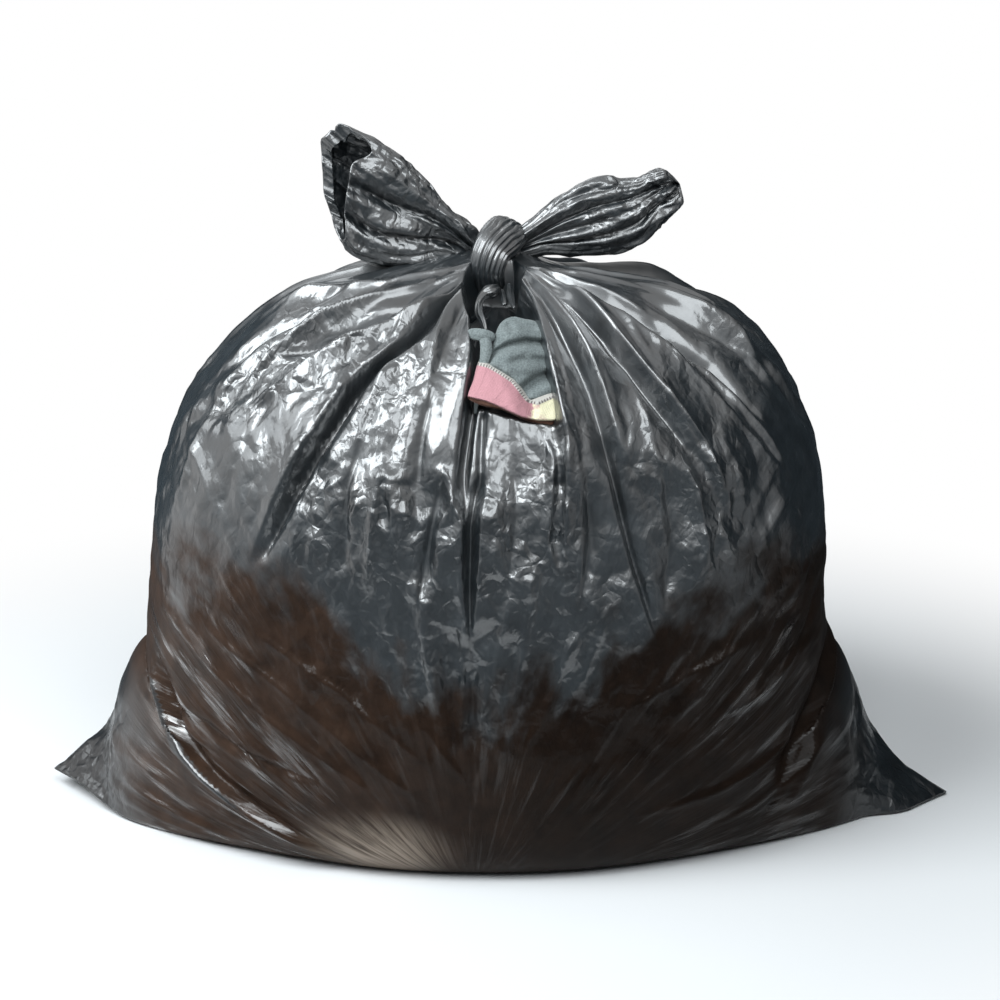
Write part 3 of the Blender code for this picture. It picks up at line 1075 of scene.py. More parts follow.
    def build(self) -> bpy.types.Object:
        """Builds the free end.

        Returns:
            The piece, with its wall's thickness where it is open.
        """
        piece = lay_sheet(self.name, self.rows, self.columns, self.surface)
        if self.open_end:
            wall = piece.modifiers.new("wall", "SOLIDIFY")
            wall.thickness = self.wall
            wall.offset = -1.0
        return piece


LEFT_END = FreeEnd(
    "free_end_left",
    (
        (0.01, 0.004, 0.43, 0.001, 0.001, 0), (0.002, 0.004, 0.43, 0.011, 0.01, 0),
        (-0.011, 0.003, 0.431, 0.014, 0.012, 0), (-0.031, 0.004, 0.443, 0.02, 0.015, 0),
        (-0.054, 0.006, 0.452, 0.033, 0.018, 4), (-0.08, 0.006, 0.464, 0.041, 0.021, 8),
        (-0.103, 0.004, 0.48, 0.041, 0.021, 24), (-0.1255, 0.0, 0.4955, 0.037, 0.018, 37),
    ),
    (
        (12.0, 4.0, 0.35, 0.4, -0.02), (12.0, 4.5, -0.35, -0.25, -0.66), (3.0, 1.6, 0.05, 0.1, 0.3),
        (3.0, 1.8, -0.7, -0.7, -0.85),
    ),
    True,
)

RIGHT_END = FreeEnd(
    "free_end_right",
    (
        (0.0, 0.004, 0.428, 0.001, 0.001, 0), (0.008, 0.004, 0.43, 0.01, 0.009, 0),
        (0.02, 0.004, 0.434, 0.011, 0.011, 0), (0.04, 0.005, 0.4425, 0.015, 0.012, 0),
        (0.06, 0.007, 0.4495, 0.0225, 0.014, 0), (0.084, 0.009, 0.456, 0.0275, 0.016, 0),
        (0.104, 0.01, 0.461, 0.0265, 0.016, 0), (0.119, 0.01, 0.4695, 0.0205, 0.015, 0),
        (0.13, 0.01, 0.476, 0.0185, 0.014, -6), (0.139, 0.01, 0.48, 0.0145, 0.012, -6),
        (0.143, 0.01, 0.482, 0.001, 0.001, 0),
    ),
    (
        (9.0, 4.0, 0.3, 0.45, 0.55), (5.0, 2.5, -0.1, 0.0, 0.3), (8.0, 4.5, -0.5, -0.45, -0.3),
    ),
    False,
    salt=90,
)


@dataclass
class Knot:
    """The knot: the strand that wraps over the front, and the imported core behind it.

    A station is x, y, z, half the width and half the thickness of the strand.
    """

    wrap: Stations = (
        (0.0155, 0.004, 0.448, 0.0145, 0.0065), (0.0085, -0.012, 0.4445, 0.015, 0.0085),
        (0.002, -0.022, 0.438, 0.0135, 0.0095), (-0.002, -0.025, 0.426, 0.0125, 0.009),
        (-0.002, -0.021, 0.413, 0.0125, 0.008), (-0.001, -0.007, 0.404, 0.012, 0.007),
        (0.008, 0.01, 0.413, 0.012, 0.007), (0.016, 0.019, 0.426, 0.013, 0.007),
        (0.019, 0.016, 0.442, 0.014, 0.007),
    )
    middle: tuple[float, float, float] = (0.005, 0.0, 0.435)
    strands: int = 9

    def wrap_surface(self, around: Array, share: Array) -> tuple[Array, Weave]:
        """Lays the wrapped strand: a flat rope with fine ridges along it.

        Args:
            around: shares of the way round the strand.
            share: shares of the way along it.

        Returns:
            Positions, and what the finish reads.
        """
        station = spline(self.wrap, share, closed=True)
        along = heading(self.wrap, share, 0.004, closed=True)
        out = station[..., :3] - self.middle
        out = unit_vectors(out - along * (out * along).sum(-1, keepdims=True))
        turn, loop = around * 2 * math.pi, np.sin(share * 2 * math.pi)
        drift = 0.9 * loop + 0.5 * soft_noise(join(np.cos(turn) * 1.5, np.sin(turn) * 1.5, loop * 3.0), 21)
        ridge = np.abs(np.sin(turn * self.strands + drift * 2.0)) ** 0.7
        fine = np.abs(np.sin(turn * self.strands * 2.6 + drift * 5.0))
        swell = 1.0 + (ridge - 0.6) * 0.20 + (fine - 0.6) * 0.06
        place = section(station, np.cross(along, out), out, turn, swell)
        return place, Weave(join(turn * 0.011, share * 0.13, 3.0), taut=np.ones(share.shape))

    def core_surface(self, around: Array, share: Array) -> tuple[Array, Weave]:
        """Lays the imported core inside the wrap.

        Args:
            around: shares of the way round it.
            share: shares of the way up it, from the gathered neck.

        Returns:
            Positions, and what the finish reads.
        """
        turn = around * 2 * math.pi
        level = np.sin((share - 0.5) * math.pi)
        girth = np.cos((share - 0.5) * math.pi)
        girth = girth * (1.0 + 0.10 * (np.abs(np.sin(turn * 6 + 1.5 * level)) - 0.6))
        form = join(0.019 * girth * np.cos(turn), 0.016 * girth * np.sin(turn), 0.020 * level - 0.006)
        return form + self.middle, Weave(join(turn * 0.016, share * 0.06, 5.0))

    def build(self) -> list[bpy.types.Object]:
        """Builds the knot's pieces.

        Returns:
            The wrapped strand and the core.
        """
        return [
            lay_sheet("knot_wrap", 150, 220, self.wrap_surface),
            lay_sheet("knot_core", 96, 40, self.core_surface),
        ]


@dataclass(frozen=True)
class Strand:
    """A loose flat strand of film or cloth, closed at both ends.

    A station is x, y, z, half the width and half the thickness.
    """

    name: str
    stations: Stations
    pleats: int = 3
    pleat: float = 0.10
    columns: int = 48
    rows: int = 70

    def surface(self, around: Array, share: Array) -> tuple[Array, Weave]:
        """Lays the strand.

        Args:
            around: shares of the way round it.
            share: shares of the way along it.

        Returns:
            Positions, and what the finish reads.
        """
        along = heading(self.stations, share, 0.02)
        across = unit_vectors(np.cross(along, (0.0, -0.95, 0.3)))
        turn = around * 2 * math.pi
        cap = np.sqrt(np.clip(1.0 - np.abs(2.0 * share - 1.0) ** 8, 0.0, 1.0))
        swell = cap * (1.0 + self.pleat * np.cos(turn * self.pleats * 2 + 5.0 * share))
        place = section(spline(self.stations, share), across, np.cross(across, along), turn, swell)
        return place, Weave(join(turn * 0.004, share * 0.05, 7.0))

    def build(self) -> bpy.types.Object:
        """Builds the strand."""
        return lay_sheet(self.name, self.columns, self.rows, self.surface)


FILM_STRANDS = (
    Strand(
        "film_nub",
        (
            (0.007, -0.0329, 0.412, 0.0029, 0.0029), (0.0011, -0.0417, 0.411, 0.0054, 0.005),
            (-0.0042, -0.0464, 0.409, 0.0038, 0.0033), (-0.0077, -0.055, 0.4049, 0.0029, 0.0021),
            (-0.0077, -0.0698, 0.4009, 0.0032, 0.0019), (-0.0046, -0.0874, 0.3982, 0.0026, 0.0019),
            (-0.0024, -0.1049, 0.3957, 0.0019, 0.0015),
        ),
    ),
    Strand(
        "film_strand_right",
        (
            (0.0144, -0.0304, 0.4138, 0.0019, 0.0019), (0.0152, -0.0421, 0.4096, 0.0027, 0.0019),
            (0.0166, -0.0555, 0.4066, 0.0023, 0.0015), (0.018, -0.0707, 0.4048, 0.0013, 0.0011),
        ),
    ),
    Strand(
        "film_strand_left",
        (
            (0.0077, -0.0334, 0.4106, 0.0015, 0.0015), (0.01, -0.0408, 0.407, 0.0023, 0.0019),
            (0.0114, -0.0525, 0.4029, 0.0019, 0.0015),
        ),
    ),
)

CLOTH_STRANDS = (
    Strand(
        "sleeve_fold_across",
        (
            (-0.0159, -0.1197, 0.3986, 0.0023, 0.0019), (-0.0109, -0.1249, 0.3984, 0.0043, 0.0026),
            (-0.0037, -0.1272, 0.3982, 0.0044, 0.0028), (0.0042, -0.1256, 0.3963, 0.0032, 0.0026),
        ),
        pleat=0.04,
    ),
    Strand(
        "sleeve_fold_down",
        (
            (-0.0037, -0.126, 0.3986, 0.0041, 0.0022), (-0.0022, -0.1342, 0.3889, 0.0041, 0.0022),
            (-0.0051, -0.1422, 0.3763, 0.0029, 0.0018), (-0.0079, -0.1497, 0.3621, 0.0022, 0.0015),
            (-0.01, -0.1524, 0.3465, 0.0013, 0.0009),
        ),
        pleat=0.04,
    ),
)


@dataclass(frozen=True)
class Tuck:
    """A soft fold in the cloth: a line in millimetres, its height and how far it spreads above and below."""

    line: Line
    height: float
    above: float
    below: float

    def lift(self, across: Array, upward: Array) -> Array:
        """How far the cloth stands out.

        Args:
            across: how far along the face the points are.
            upward: how far up it they are.

        Returns:
            Lifts in millimetres.
        """
        distance = along_line(across, upward, self.line)[1]
        spread = np.where(distance > 0.0, self.above, self.below)
        return self.height * np.exp(-((distance / spread) ** 2))


@dataclass(frozen=True)
class Cloth:
    """A stuffed piece of cloth: outline and folds in millimetres across and up from the garment's middle."""

    name: str
    outline: Line
    heart: tuple[float, float]
    tucks: tuple[Tuck, ...]
    face: float = 7.0
    back: float = 16.0


SLEEVE = Cloth(
    "sleeve_cloth",
    (
        (-19.2, 2.1), (-16.8, 11.1), (-14.3, 22.1), (-10.1, 31.3), (-2.1, 35.9), (6.4, 34.6),
        (15.7, 32.7), (26.4, 25.0), (33.6, 10.7), (36.8, -7.2), (36.8, -23.6), (29.3, -30.7),
        (16.4, -31.4), (6.4, -27.8), (-2.1, -17.9), (-12.2, -9.3), (-23.9, -4.1), (-23.9, 0.0),
    ),
    (9.2, 4.6),
    (
        Tuck(((-4.1, 29.0), (-2.6, 27.6)), -4.0, 3.2, 3.2),
        Tuck(((-0.9, 35.0), (7.4, 28.6), (13.8, 28.6)), -2.0, 2.5, 3.5),
        Tuck(
            ((-22.1, 1.4), (-12.9, 10.7), (-4.3, 15.3), (7.2, 18.1), (21.5, 17.1), (33.2, 14.7)),
            -5.5, 1.6, 4.0,
        ),
        Tuck(((-11.1, 22.1), (9.2, 24.9), (25.8, 22.1)), 4.5, 7.0, 7.0),
        Tuck(((-12.9, 3.7), (7.4, 9.7), (27.6, 7.4)), 3.5, 5.0, 5.0),
        Tuck(((0.0, 2.8), (9.2, 5.1), (20.3, 3.7)), -2.2, 3.0, 3.0),
        Tuck(((-5.5, -2.8), (5.5, -2.8), (14.7, -1.4)), 2.5, 4.0, 4.0),
        Tuck(((6.4, -16.1), (14.7, -9.7), (24.9, -5.5), (35.0, -2.8)), -8.0, 2.6, 5.5),
        Tuck(((12.9, -22.1), (22.1, -16.6), (33.2, -13.8)), 2.5, 3.0, 4.0),
    ),
)

CUFF = Cloth(
    "cuff_cloth",
    (
        (-25.7, 2.9), (-17.9, 0.7), (-9.3, -4.3), (-0.7, -10.0), (5.0, -17.1), (10.7, -23.9),
        (15.7, -25.2), (26.4, -20.3), (35.0, -17.1), (36.8, -27.8), (33.6, -41.0), (23.6, -44.9),
        (13.5, -42.1), (3.6, -38.6), (-9.3, -32.9), (-20.7, -30.4), (-30.7, -26.4), (-33.5, -22.1),
        (-30.0, -11.5),
    ),
    (3.7, -28.6),
    (
        Tuck(((-27.6, -9.2), (-12.9, -14.7), (0.0, -23.9)), 2.2, 7.0, 7.0),
        Tuck(((7.4, -22.1), (11.1, -27.6), (12.9, -34.1)), -2.2, 3.0, 4.0),
        Tuck(((18.4, -27.6), (31.3, -25.8)), 1.5, 5.0, 5.0),
    ),
)


@dataclass
class Garment:
    """The sleeve and its cuff, lying in the gap below the knot.

    The face tips up by its tilt and falls back as it rises. Its seam and the rolled edge of its cuff are
    lines in millimetres across and up from its middle.
    """

    middle: tuple[float, float, float] = (0.0185, -0.1382, 0.3790)
    tilt: float = math.radians(17)
    recline: float = 0.60
    seam: Line = (
        (-26.2, 2.8), (-17.9, 0.6), (-9.3, -4.6), (-0.7, -10.5), (5.0, -17.7), (10.1, -24.3),
        (15.7, -25.8), (26.4, -20.8), (36.8, -17.5),
    )
    hem: Line = (
        (-34.0, -22.6), (-20.0, -26.2), (-12.0, -29.6), (-4.3, -33.4), (5.0, -37.4), (16.6, -39.6),
        (27.0, -39.6), (38.0, -36.0),
    )

    def surface(self, cloth: Cloth, around: Array, share: Array) -> tuple[Array, Weave]:
        """Lays one piece of the garment.

        Args:
            cloth: the piece.
            around: shares of the way round its outline.
            share: shares of the way from the middle of its back, over the outline, to the middle of its
                face.

        Returns:
            Positions, and the distances along the seam, below the seam and below the hem.
        """
        level = (share - 0.5) * math.pi
        spread = np.cos(level) ** 0.5
        edge = spline(cloth.outline, around, closed=True)
        across = cloth.heart[0] + (edge[..., 0] - cloth.heart[0]) * spread
        upward = cloth.heart[1] + (edge[..., 1] - cloth.heart[1]) * spread
        rise = np.sin(level)
        out = np.where(rise > 0.0, cloth.face, cloth.back) * rise - self.recline * upward
        out -= 14.0 * smooth(across, -8.0, 32.0)
        shown = smooth(rise, 0.05, 0.35)
        for tuck in cloth.tucks:
            out += tuck.lift(across, upward) * shown
        out += layered_noise(join(across / 9.0, upward / 9.0, 4.0), 14, 2) * 0.7 * shown
        along, above_seam = along_line(across, upward, self.seam)
        above_hem = along_line(across, upward, self.hem)[1]
        if cloth is CUFF:
            out += 1.2 * np.exp(-(((above_seam + 1.6) / 1.5) ** 2)) * shown
            out -= 4.5 * smooth(above_hem, 0.3, -1.2) * shown
            out += 2.0 * np.exp(-(((above_hem + 7.0) / 2.5) ** 2)) * shown
        else:
            out -= 2.5 * smooth(above_seam, 1.5, -1.5)
        sine, cosine = math.sin(self.tilt), math.cos(self.tilt)
        tilted = join(across, upward * sine - out * cosine, upward * cosine + out * sine)
        return tilted * MM + self.middle, Weave(join(along, -above_seam, -above_hem) * MM)

    def build(self) -> tuple[list[bpy.types.Object], bpy.types.Object]:
        """Builds the sleeve with its loose folds, and the cuff.

        Returns:
            The sleeve's pieces, and the cuff.
        """
        sleeve, cuff = (
            lay_sheet(cloth.name, 260, 150, partial(self.surface, cloth)) for cloth in (SLEEVE, CUFF)
        )
        return [sleeve, *(strand.build() for strand in CLOTH_STRANDS)], cuff


@dataclass(frozen=True)
class BlackFilm:
    """Recycled polyethylene, blown into thin film: nearly black, its bright skin broken up by small facets.

    Each size of facet has its slope. A tongue of the painted brown, a streak and a fine line have a width
    and a length. The coats are how much of the bright skin shows: where the film is bare, from left to right
    through the painted brown, inside the gap, where dimming it paints shade, low on the right, where it is
    dimmed as painted shade, and at the corners.
    """

    name: str = "blown_polyethylene_film"
    clean: str = "#10171B"
    # the brown is a painted reflection of the ground, darker to the right as painted shade
    brown_reflection: str = "#34251C"
    brown_reflection_shaded: str = "#150D08"
    dulled: str = "#5A4E46"
    painted_sheen: str = "#94877A"
    roughness: tuple[float, float] = (0.34, 0.50)
    brown_roughness: float = 0.70
    skin_roughness: float = 0.145
    facets: tuple[tuple[float, float], ...] = ((24 * MM, 0.17), (11.5 * MM, 0.14), (4.5 * MM, 0.07))
    facet_bend: float = 12 * MM
    line: tuple[float, float] = (8 * MM, 90 * MM)
    line_relief: float = 1.8 * MM
    tongue: tuple[float, float] = (42 * MM, 80 * MM)
    streak: tuple[float, float] = (11 * MM, 70 * MM)
    brown_from: float = 0.140
    brown_sides: float = 0.085
    brown_edge: float = 0.055
    mottling: tuple[float, float] = (0.45, 1.35)
    clean_coat: float = 0.36
    brown_coat: tuple[float, float] = (0.55, 0.40)
    streaked: tuple[float, float] = (0.3, 4.0)
    tucked_shade_coat: float = 0.12
    dim_sheen: float = 0.35
    dim_coat: float = 0.40
    painted_sheen_at: tuple[float, float, float] = (-0.084, -0.200, 0.024)
    painted_sheen_size: tuple[float, float, float] = (0.070, 0.11, 0.040)

    def drawn_noise(self, add: Callable, size: tuple[float, float], **noise: float) -> bpy.types.Node:
        """Noise drawn out along the grain of the film, with the width and length of its marks.

        Args:
            add: adds a node to the material.
            size: the width and length of a mark in metres.
            noise: what else the noise is given.

        Returns:
            The noise.
        """
        grain = add("Attribute", attribute_name="grain").outputs["Vector"]
        scaled = add("VectorMath", {0: grain, 1: (1 / size[0], 1 / size[1], 1.0)}, operation="MULTIPLY")
        return add("TexNoise", {"Vector": scaled, "Scale": 1.0, **noise})

    def ground_reflections(self, add: Callable, where: bpy.types.NodeSocket) -> tuple[bpy.types.Node, ...]:
        """Painted light: a brown reflection of the ground with a ragged top, and a pale sheen patch.

        Args:
            add: adds a node to the material.
            where: object coordinates.

        Returns:
            The share of painted brown, the share of painted sheen and the streaks along the grain, each
            from 0 to 1.
        """
        place = add("SeparateXYZ", {0: where}).outputs
        tongues = self.drawn_noise(add, self.tongue, Detail=5.0)
        ragged = add("MapRange", {"Value": tongues, **span(0.25, 0.75, -self.brown_edge, self.brown_edge)})
        level = add("Math", {0: place["Z"], 1: ragged}, operation="ADD")
        aside = add("Math", {0: place["X"]}, operation="ABSOLUTE")
        sides = span(0.0, 0.17, 0.0, -self.brown_sides)
        dip = add("MapRange", {"Value": aside, **sides}, interpolation_type="SMOOTHSTEP")
        level = add("Math", {0: level, 1: dip}, operation="ADD")
        edge = span(self.brown_from + 0.022, self.brown_from - 0.020)
        risen = add("MapRange", {"Value": level, **edge}, interpolation_type="SMOOTHSTEP")
        bare = add("Attribute", attribute_name="bare").outputs["Fac"]
        kept = add("MapRange", {"Value": bare, **span(0.0, 1.0, 1.0, 0.2)})
        painted_brown = add("Math", {0: risen, 1: kept}, operation="MULTIPLY")

        # a pale patch of painted sheen low at the front, where the film would reflect the ground
        offset = add("VectorMath", {0: where, 1: self.painted_sheen_at}, operation="SUBTRACT")
        shrunk = [1 / size for size in self.painted_sheen_size]
        offset = add("VectorMath", {0: offset, 1: shrunk}, operation="MULTIPLY")
        far = add("VectorMath", {0: offset}, operation="LENGTH")
        near = add("MapRange", {"Value": far, **span(1.0, 0.1)}, interpolation_type="SMOOTHSTEP")
        lines = self.drawn_noise(add, self.streak, Detail=5.0, Roughness=0.6)
        sheen_streaked = add("MapRange", {"Value": lines, **span(0.3, 0.57)})
        painted_sheen = add("Math", {0: near, 1: sheen_streaked}, operation="MULTIPLY")
        streaks = add("MapRange", {"Value": lines, **span(0.50, 0.66)}, interpolation_type="SMOOTHSTEP")
        taut = add("Attribute", attribute_name="taut").outputs["Fac"]
        return painted_brown, painted_sheen, add("Math", {0: streaks, 1: taut}, operation="MULTIPLY")

    def creases(self, add: Callable, where: bpy.types.NodeSocket) -> bpy.types.Node:
        """Small flat facets where the film is slack, fine lines along the grain where it is tight.

        Args:
            add: adds a node to the material.
            where: object coordinates.

        Returns:
            The bumped normal.
        """
        slack = add("Attribute", attribute_name="slack").outputs["Fac"]
        taut = add("Attribute", attribute_name="taut").outputs["Fac"]
        bent = add("TexNoise", {"Vector": where, "Scale": 60.0, "Detail": 2.0}).outputs["Color"]
        shift = add("VectorMath", {0: bent, 1: [self.facet_bend] * 3, 2: where}, operation="MULTIPLY_ADD")
        long = add("VectorMath", {0: shift, 1: (1.0, 1.0, 0.62)}, operation="MULTIPLY")
        below = {}
        for size, slope in self.facets:
            cells = add("TexVoronoi", {"Vector": long, "Scale": 1 / size}, feature="DISTANCE_TO_EDGE")
            bump = add("Bump", {"Height": cells, "Strength": slack, "Distance": slope * size, **below})
            below = {"Normal": bump}
        lines = self.drawn_noise(add, self.line, Detail=3.0, Roughness=0.6)
        return add("Bump", {"Height": lines, "Strength": taut, "Distance": self.line_relief, **below})

    def material(self) -> bpy.types.Material:
        """Makes the film's material.

        Returns:
            The material.
        """
        coat = {"Coat IOR": 1.7, "Coat Roughness": self.skin_roughness}
        material, shader, add = start_material(self.name, {"IOR": 1.51, "Specular IOR Level": 0.95, **coat})
        where = add("TexCoord").outputs["Object"]
        painted_brown, painted_sheen, streaks = self.ground_reflections(add, where)
        place = add("SeparateXYZ", {0: where}).outputs
        rightward = add("MapRange", {"Value": place["X"], **span(-0.26, 0.06)})
        bare = add("Attribute", attribute_name="bare").outputs["Fac"]
        tucked = add("Attribute", attribute_name="tucked").outputs["Fac"]

        # black film, mottled, with a painted brown reflection of the ground over it that is darker to the
        # right as painted shade, and a pale painted sheen patch over that
        colours = {6: linear(self.brown_reflection), 7: linear(self.brown_reflection_shaded)}
        brown_reflection_colour = add("Mix", {0: rightward, **colours}, data_type="RGBA")
        body = add("Mix", {0: painted_brown, 6: linear(self.clean), 7: brown_reflection_colour}, data_type="RGBA")
        mottle = add("TexNoise", {"Vector": where, "Scale": 45.0, "Detail": 5.0, "Roughness": 0.65})
        darker = add("MapRange", {"Value": mottle, **span(0.3, 0.7, *self.mottling)})
        tone = add("VectorMath", {0: body, "Scale": darker}, operation="SCALE")
        sheen_painted = add("Mix", {0: painted_sheen, 6: tone, 7: linear(self.painted_sheen)}, data_type="RGBA")

        # the sheen sinks under the painted brown and at the corners, and low on the right as painted shade
        sealed = add("Mix", {0: painted_brown, 6: linear("#FFFFFF"), 7: linear(self.dulled)}, data_type="RGBA")
        fall = span(0.06, 0.27, 1.0, 0.0)
        low = add("MapRange", {"Value": place["Z"], **fall}, interpolation_type="SMOOTHSTEP")
        low = add("Math", {0: low, 1: rightward}, operation="MULTIPLY")
        dim = add("Mix", {0: bare, 2: low, 3: 1.0}, data_type="FLOAT")
        dimmed = add("MapRange", {"Value": dim, **span(0.0, 1.0, 1.0, self.dim_sheen)})
        tint = add("VectorMath", {0: sealed, "Scale": dimmed}, operation="SCALE")

        # the bright skin shows through the painted brown along the streaks, and hardly at all inside the gap
        # and the grooves, where taking it away paints shade
        side = add("MapRange", {"Value": rightward, **span(0.0, 1.0, *self.brown_coat)})
        through = add("MapRange", {"Value": streaks, **span(0.0, 1.0, *self.streaked)})
        film = add("Math", {0: side, 1: through}, operation="MULTIPLY")
        gloss = add("Mix", {0: painted_brown, 2: 1.0, 3: film}, data_type="FLOAT")
        above = add("MapRange", {"Value": dim, **span(0.0, 1.0, 1.0, self.dim_coat)})
        gloss = add("Math", {0: gloss, 1: above}, operation="MULTIPLY")
        gloss = add("Math", {0: bare, 1: self.clean_coat, 2: gloss}, operation="MULTIPLY_ADD")
        shown = add("MapRange", {"Value": tucked, **span(0.0, 1.0, 1.0, self.tucked_shade_coat)})
        skin = add("Math", {0: gloss, 1: shown}, operation="MULTIPLY")

        rough = add("MapRange", {"Value": mottle, **span(0.3, 0.7, *self.roughness)})
        dulled = add("Mix", {0: painted_brown, 2: rough, 3: self.brown_roughness}, data_type="FLOAT")
        normal = self.creases(add, where)
        sheen = {"Base Color": sheen_painted, "Specular Tint": tint, "Roughness": dulled, "Coat Weight": skin}
        connect(shader, {**sheen, "Normal": normal, "Coat Normal": normal})
        return material


@dataclass(frozen=True)
class HeatherKnit:
    """Brushed cotton jersey in mixed greys: matt, fine-ribbed and a little furry."""

    name: str = "brushed_cotton_jersey"
    light: str = "#949C9B"
    dark: str = "#454D4E"
    fleck: float = 1.3 * MM
    wale: float = 1.1 * MM
    relief: float = 0.22 * MM

    def material(self) -> bpy.types.Material:
        """Makes the knit's material.

        Returns:
            The material.
        """
        sheen = {"Sheen Weight": 0.12, "Sheen Roughness": 0.4}
        shading = {"Roughness": 0.92, "Specular IOR Level": 0.2, **sheen}
        material, shader, add = start_material(self.name, shading)
        where = add("TexCoord").outputs["Object"]
        fleck = add("TexNoise", {"Vector": where, "Scale": 1 / self.fleck, "Detail": 3.0})
        waver = {"Distortion": 2.5, "Detail": 2.0, "Detail Scale": 1.2}
        # a wave texture's bands lie 0.314 apart at a scale of 1
        wales = add("TexWave", {"Vector": where, "Scale": 0.314 / self.wale, **waver}).outputs["Fac"]
        cloudy = add("TexNoise", {"Vector": where, "Scale": 60.0, "Detail": 2.0})
        spread = add("MapRange", {"Value": fleck, **span(0.3, 0.7)})
        shade = add("Mix", {0: 0.45, 2: spread, 3: cloudy}, data_type="FLOAT")
        tone = add("Mix", {0: 0.18, 2: shade, 3: wales}, data_type="FLOAT")
        mix = add("Mix", {0: tone, 6: linear(self.dark), 7: linear(self.light)}, data_type="RGBA")
        bump = add("Bump", {"Height": tone, "Distance": self.relief, "Strength": 0.7})
        connect(shader, {"Base Color": mix, "Normal": bump})
        return material


@dataclass(frozen=True)
class CuffRib:
    """Rib-knitted cotton, pink turning to cream, with an overlocked seam above and a brown rolled edge."""

    name: str = "rib_knitted_cotton"
    pink: str = "#BB898F"
    cream: str = "#EDE6C4"
    edge: str = "#6A4C40"
    thread: str = "#BDB9B2"
    needle: str = "#57494B"
    rib: float = 1.5 * MM
    stitch: float = 2.1 * MM
    seam_width: float = 3.4 * MM
    cream_from: float = 51 * MM

    def repeats(self, add: Callable, along: bpy.types.NodeSocket, period: float) -> bpy.types.Node:
        """A sine wave along the seam with a period in metres."""
        swing = add("Math", {0: along, 1: 2 * math.pi / period}, operation="MULTIPLY")
        return add("Math", {0: swing}, operation="SINE")

    def material(self) -> bpy.types.Material:
        """Makes the cuff's material.

        Returns:
            The material.
        """
        shading = {"Roughness": 0.9, "Specular IOR Level": 0.2, "Sheen Weight": 0.08}
        material, shader, add = start_material(self.name, shading)
        where = add("TexCoord").outputs["Object"]
        grain = add("Attribute", attribute_name="grain").outputs["Vector"]
        along, past_top, past_hem = add("SeparateXYZ", {0: grain}).outputs
        fleck = add("TexNoise", {"Vector": where, "Scale": 1 / MM, "Detail": 2.0})
        blotch = add("TexNoise", {"Vector": where, "Scale": 260.0, "Detail": 4.0})

        # pink turns to cream part of the way along, with an uneven edge
        wander = add("Math", {0: blotch, 1: 10 * MM, 2: along}, operation="MULTIPLY_ADD")
        ends = span(self.cream_from + 3.5 * MM, self.cream_from + 6.5 * MM)
        creamy = add("MapRange", {"Value": wander, **ends})
        field_colour = add("Mix", {0: creamy, 6: linear(self.pink), 7: linear(self.cream)}, data_type="RGBA")
        speckle = add("MapRange", {"Value": fleck, **span(0.3, 0.7, 0.88, 1.06)})
        woven = add("VectorMath", {0: field_colour, "Scale": speckle}, operation="SCALE")

        # overlock stitches: pale thread crossed by dark needle holes
        beat = self.repeats(add, along, self.stitch)
        hole = add("MapRange", {"Value": beat, **span(0.1, 0.6, 0.0, 0.85)})
        row = add("MapRange", {"Value": past_top, **span(0.9 * MM, 1.6 * MM)})
        holes = add("Math", {0: hole, 1: row}, operation="MULTIPLY")
        threads = add("Mix", {0: holes, 6: linear(self.thread), 7: linear(self.needle)}, data_type="RGBA")
        seam_end = span(self.seam_width - 0.4 * MM, self.seam_width + 0.1 * MM)
        past_seam = add("MapRange", {"Value": past_top, **seam_end})
        sewn = add("Mix", {0: past_seam, 6: threads, 7: woven}, data_type="RGBA")

        # the rolled edge shows the brown inside, worn in patches
        rolled = add("MapRange", {"Value": past_hem, **span(0.0, 0.8 * MM)})
        worn = add("MapRange", {"Value": blotch, **span(0.3, 0.7, 0.5, 1.3)})
        inside = add("VectorMath", {0: linear(self.edge)[:3], "Scale": worn}, operation="SCALE")
        whole = add("Mix", {0: rolled, 6: sewn, 7: inside}, data_type="RGBA")

        ribbed = self.repeats(add, along, self.rib)
        height = add("Mix", {0: past_seam, 2: beat, 3: ribbed}, data_type="FLOAT")
        bump = add("Bump", {"Height": height, "Distance": 0.10 * MM, "Strength": 0.6})
        soft = add("Bump", {"Height": fleck, "Distance": 0.25 * MM, "Strength": 0.6, "Normal": bump})
        connect(shader, {"Base Color": whole, "Normal": soft})
        return material


@dataclass(frozen=True)
class Lamp:
    """A square softbox: its direction from the sack, its distance, its side and its brightness."""

    name: str
    toward: tuple[float, float, float]
    distance: float
    side: float
    radiance: float
    colour: str = "#EFF6FA"

    def build(self) -> None:
        """Adds the lamp, facing the sack."""
        data = bpy.data.lights.new(self.name, "AREA")
        data.shape = "SQUARE"
        data.size = self.side
        data.energy = self.radiance * math.pi * self.side**2
        data.color = linear(self.colour)[:3]
        lamp = bpy.data.objects.new(self.name, data)
        away = Vector(self.toward).normalized() * self.distance
        lamp.location = away + Vector((0, 0, 0.25))
        lamp.rotation_euler = away.to_track_quat("Z", "Y").to_euler()
        bpy.context.scene.collection.objects.link(lamp)


LAMPS = (
    Lamp("key_softbox", (-0.60, -0.38, 0.72), 2.1, 1.25, 10.4),
    Lamp("left_softbox", (-0.84, 0.06, 0.54), 2.1, 1.0, 2.2),
    Lamp("front_softbox", (0.12, -0.66, 0.74), 2.4, 1.5, 5.2),
    Lamp("back_softbox", (-0.25, 0.75, 0.70), 3.0, 1.6, 1.6),
)


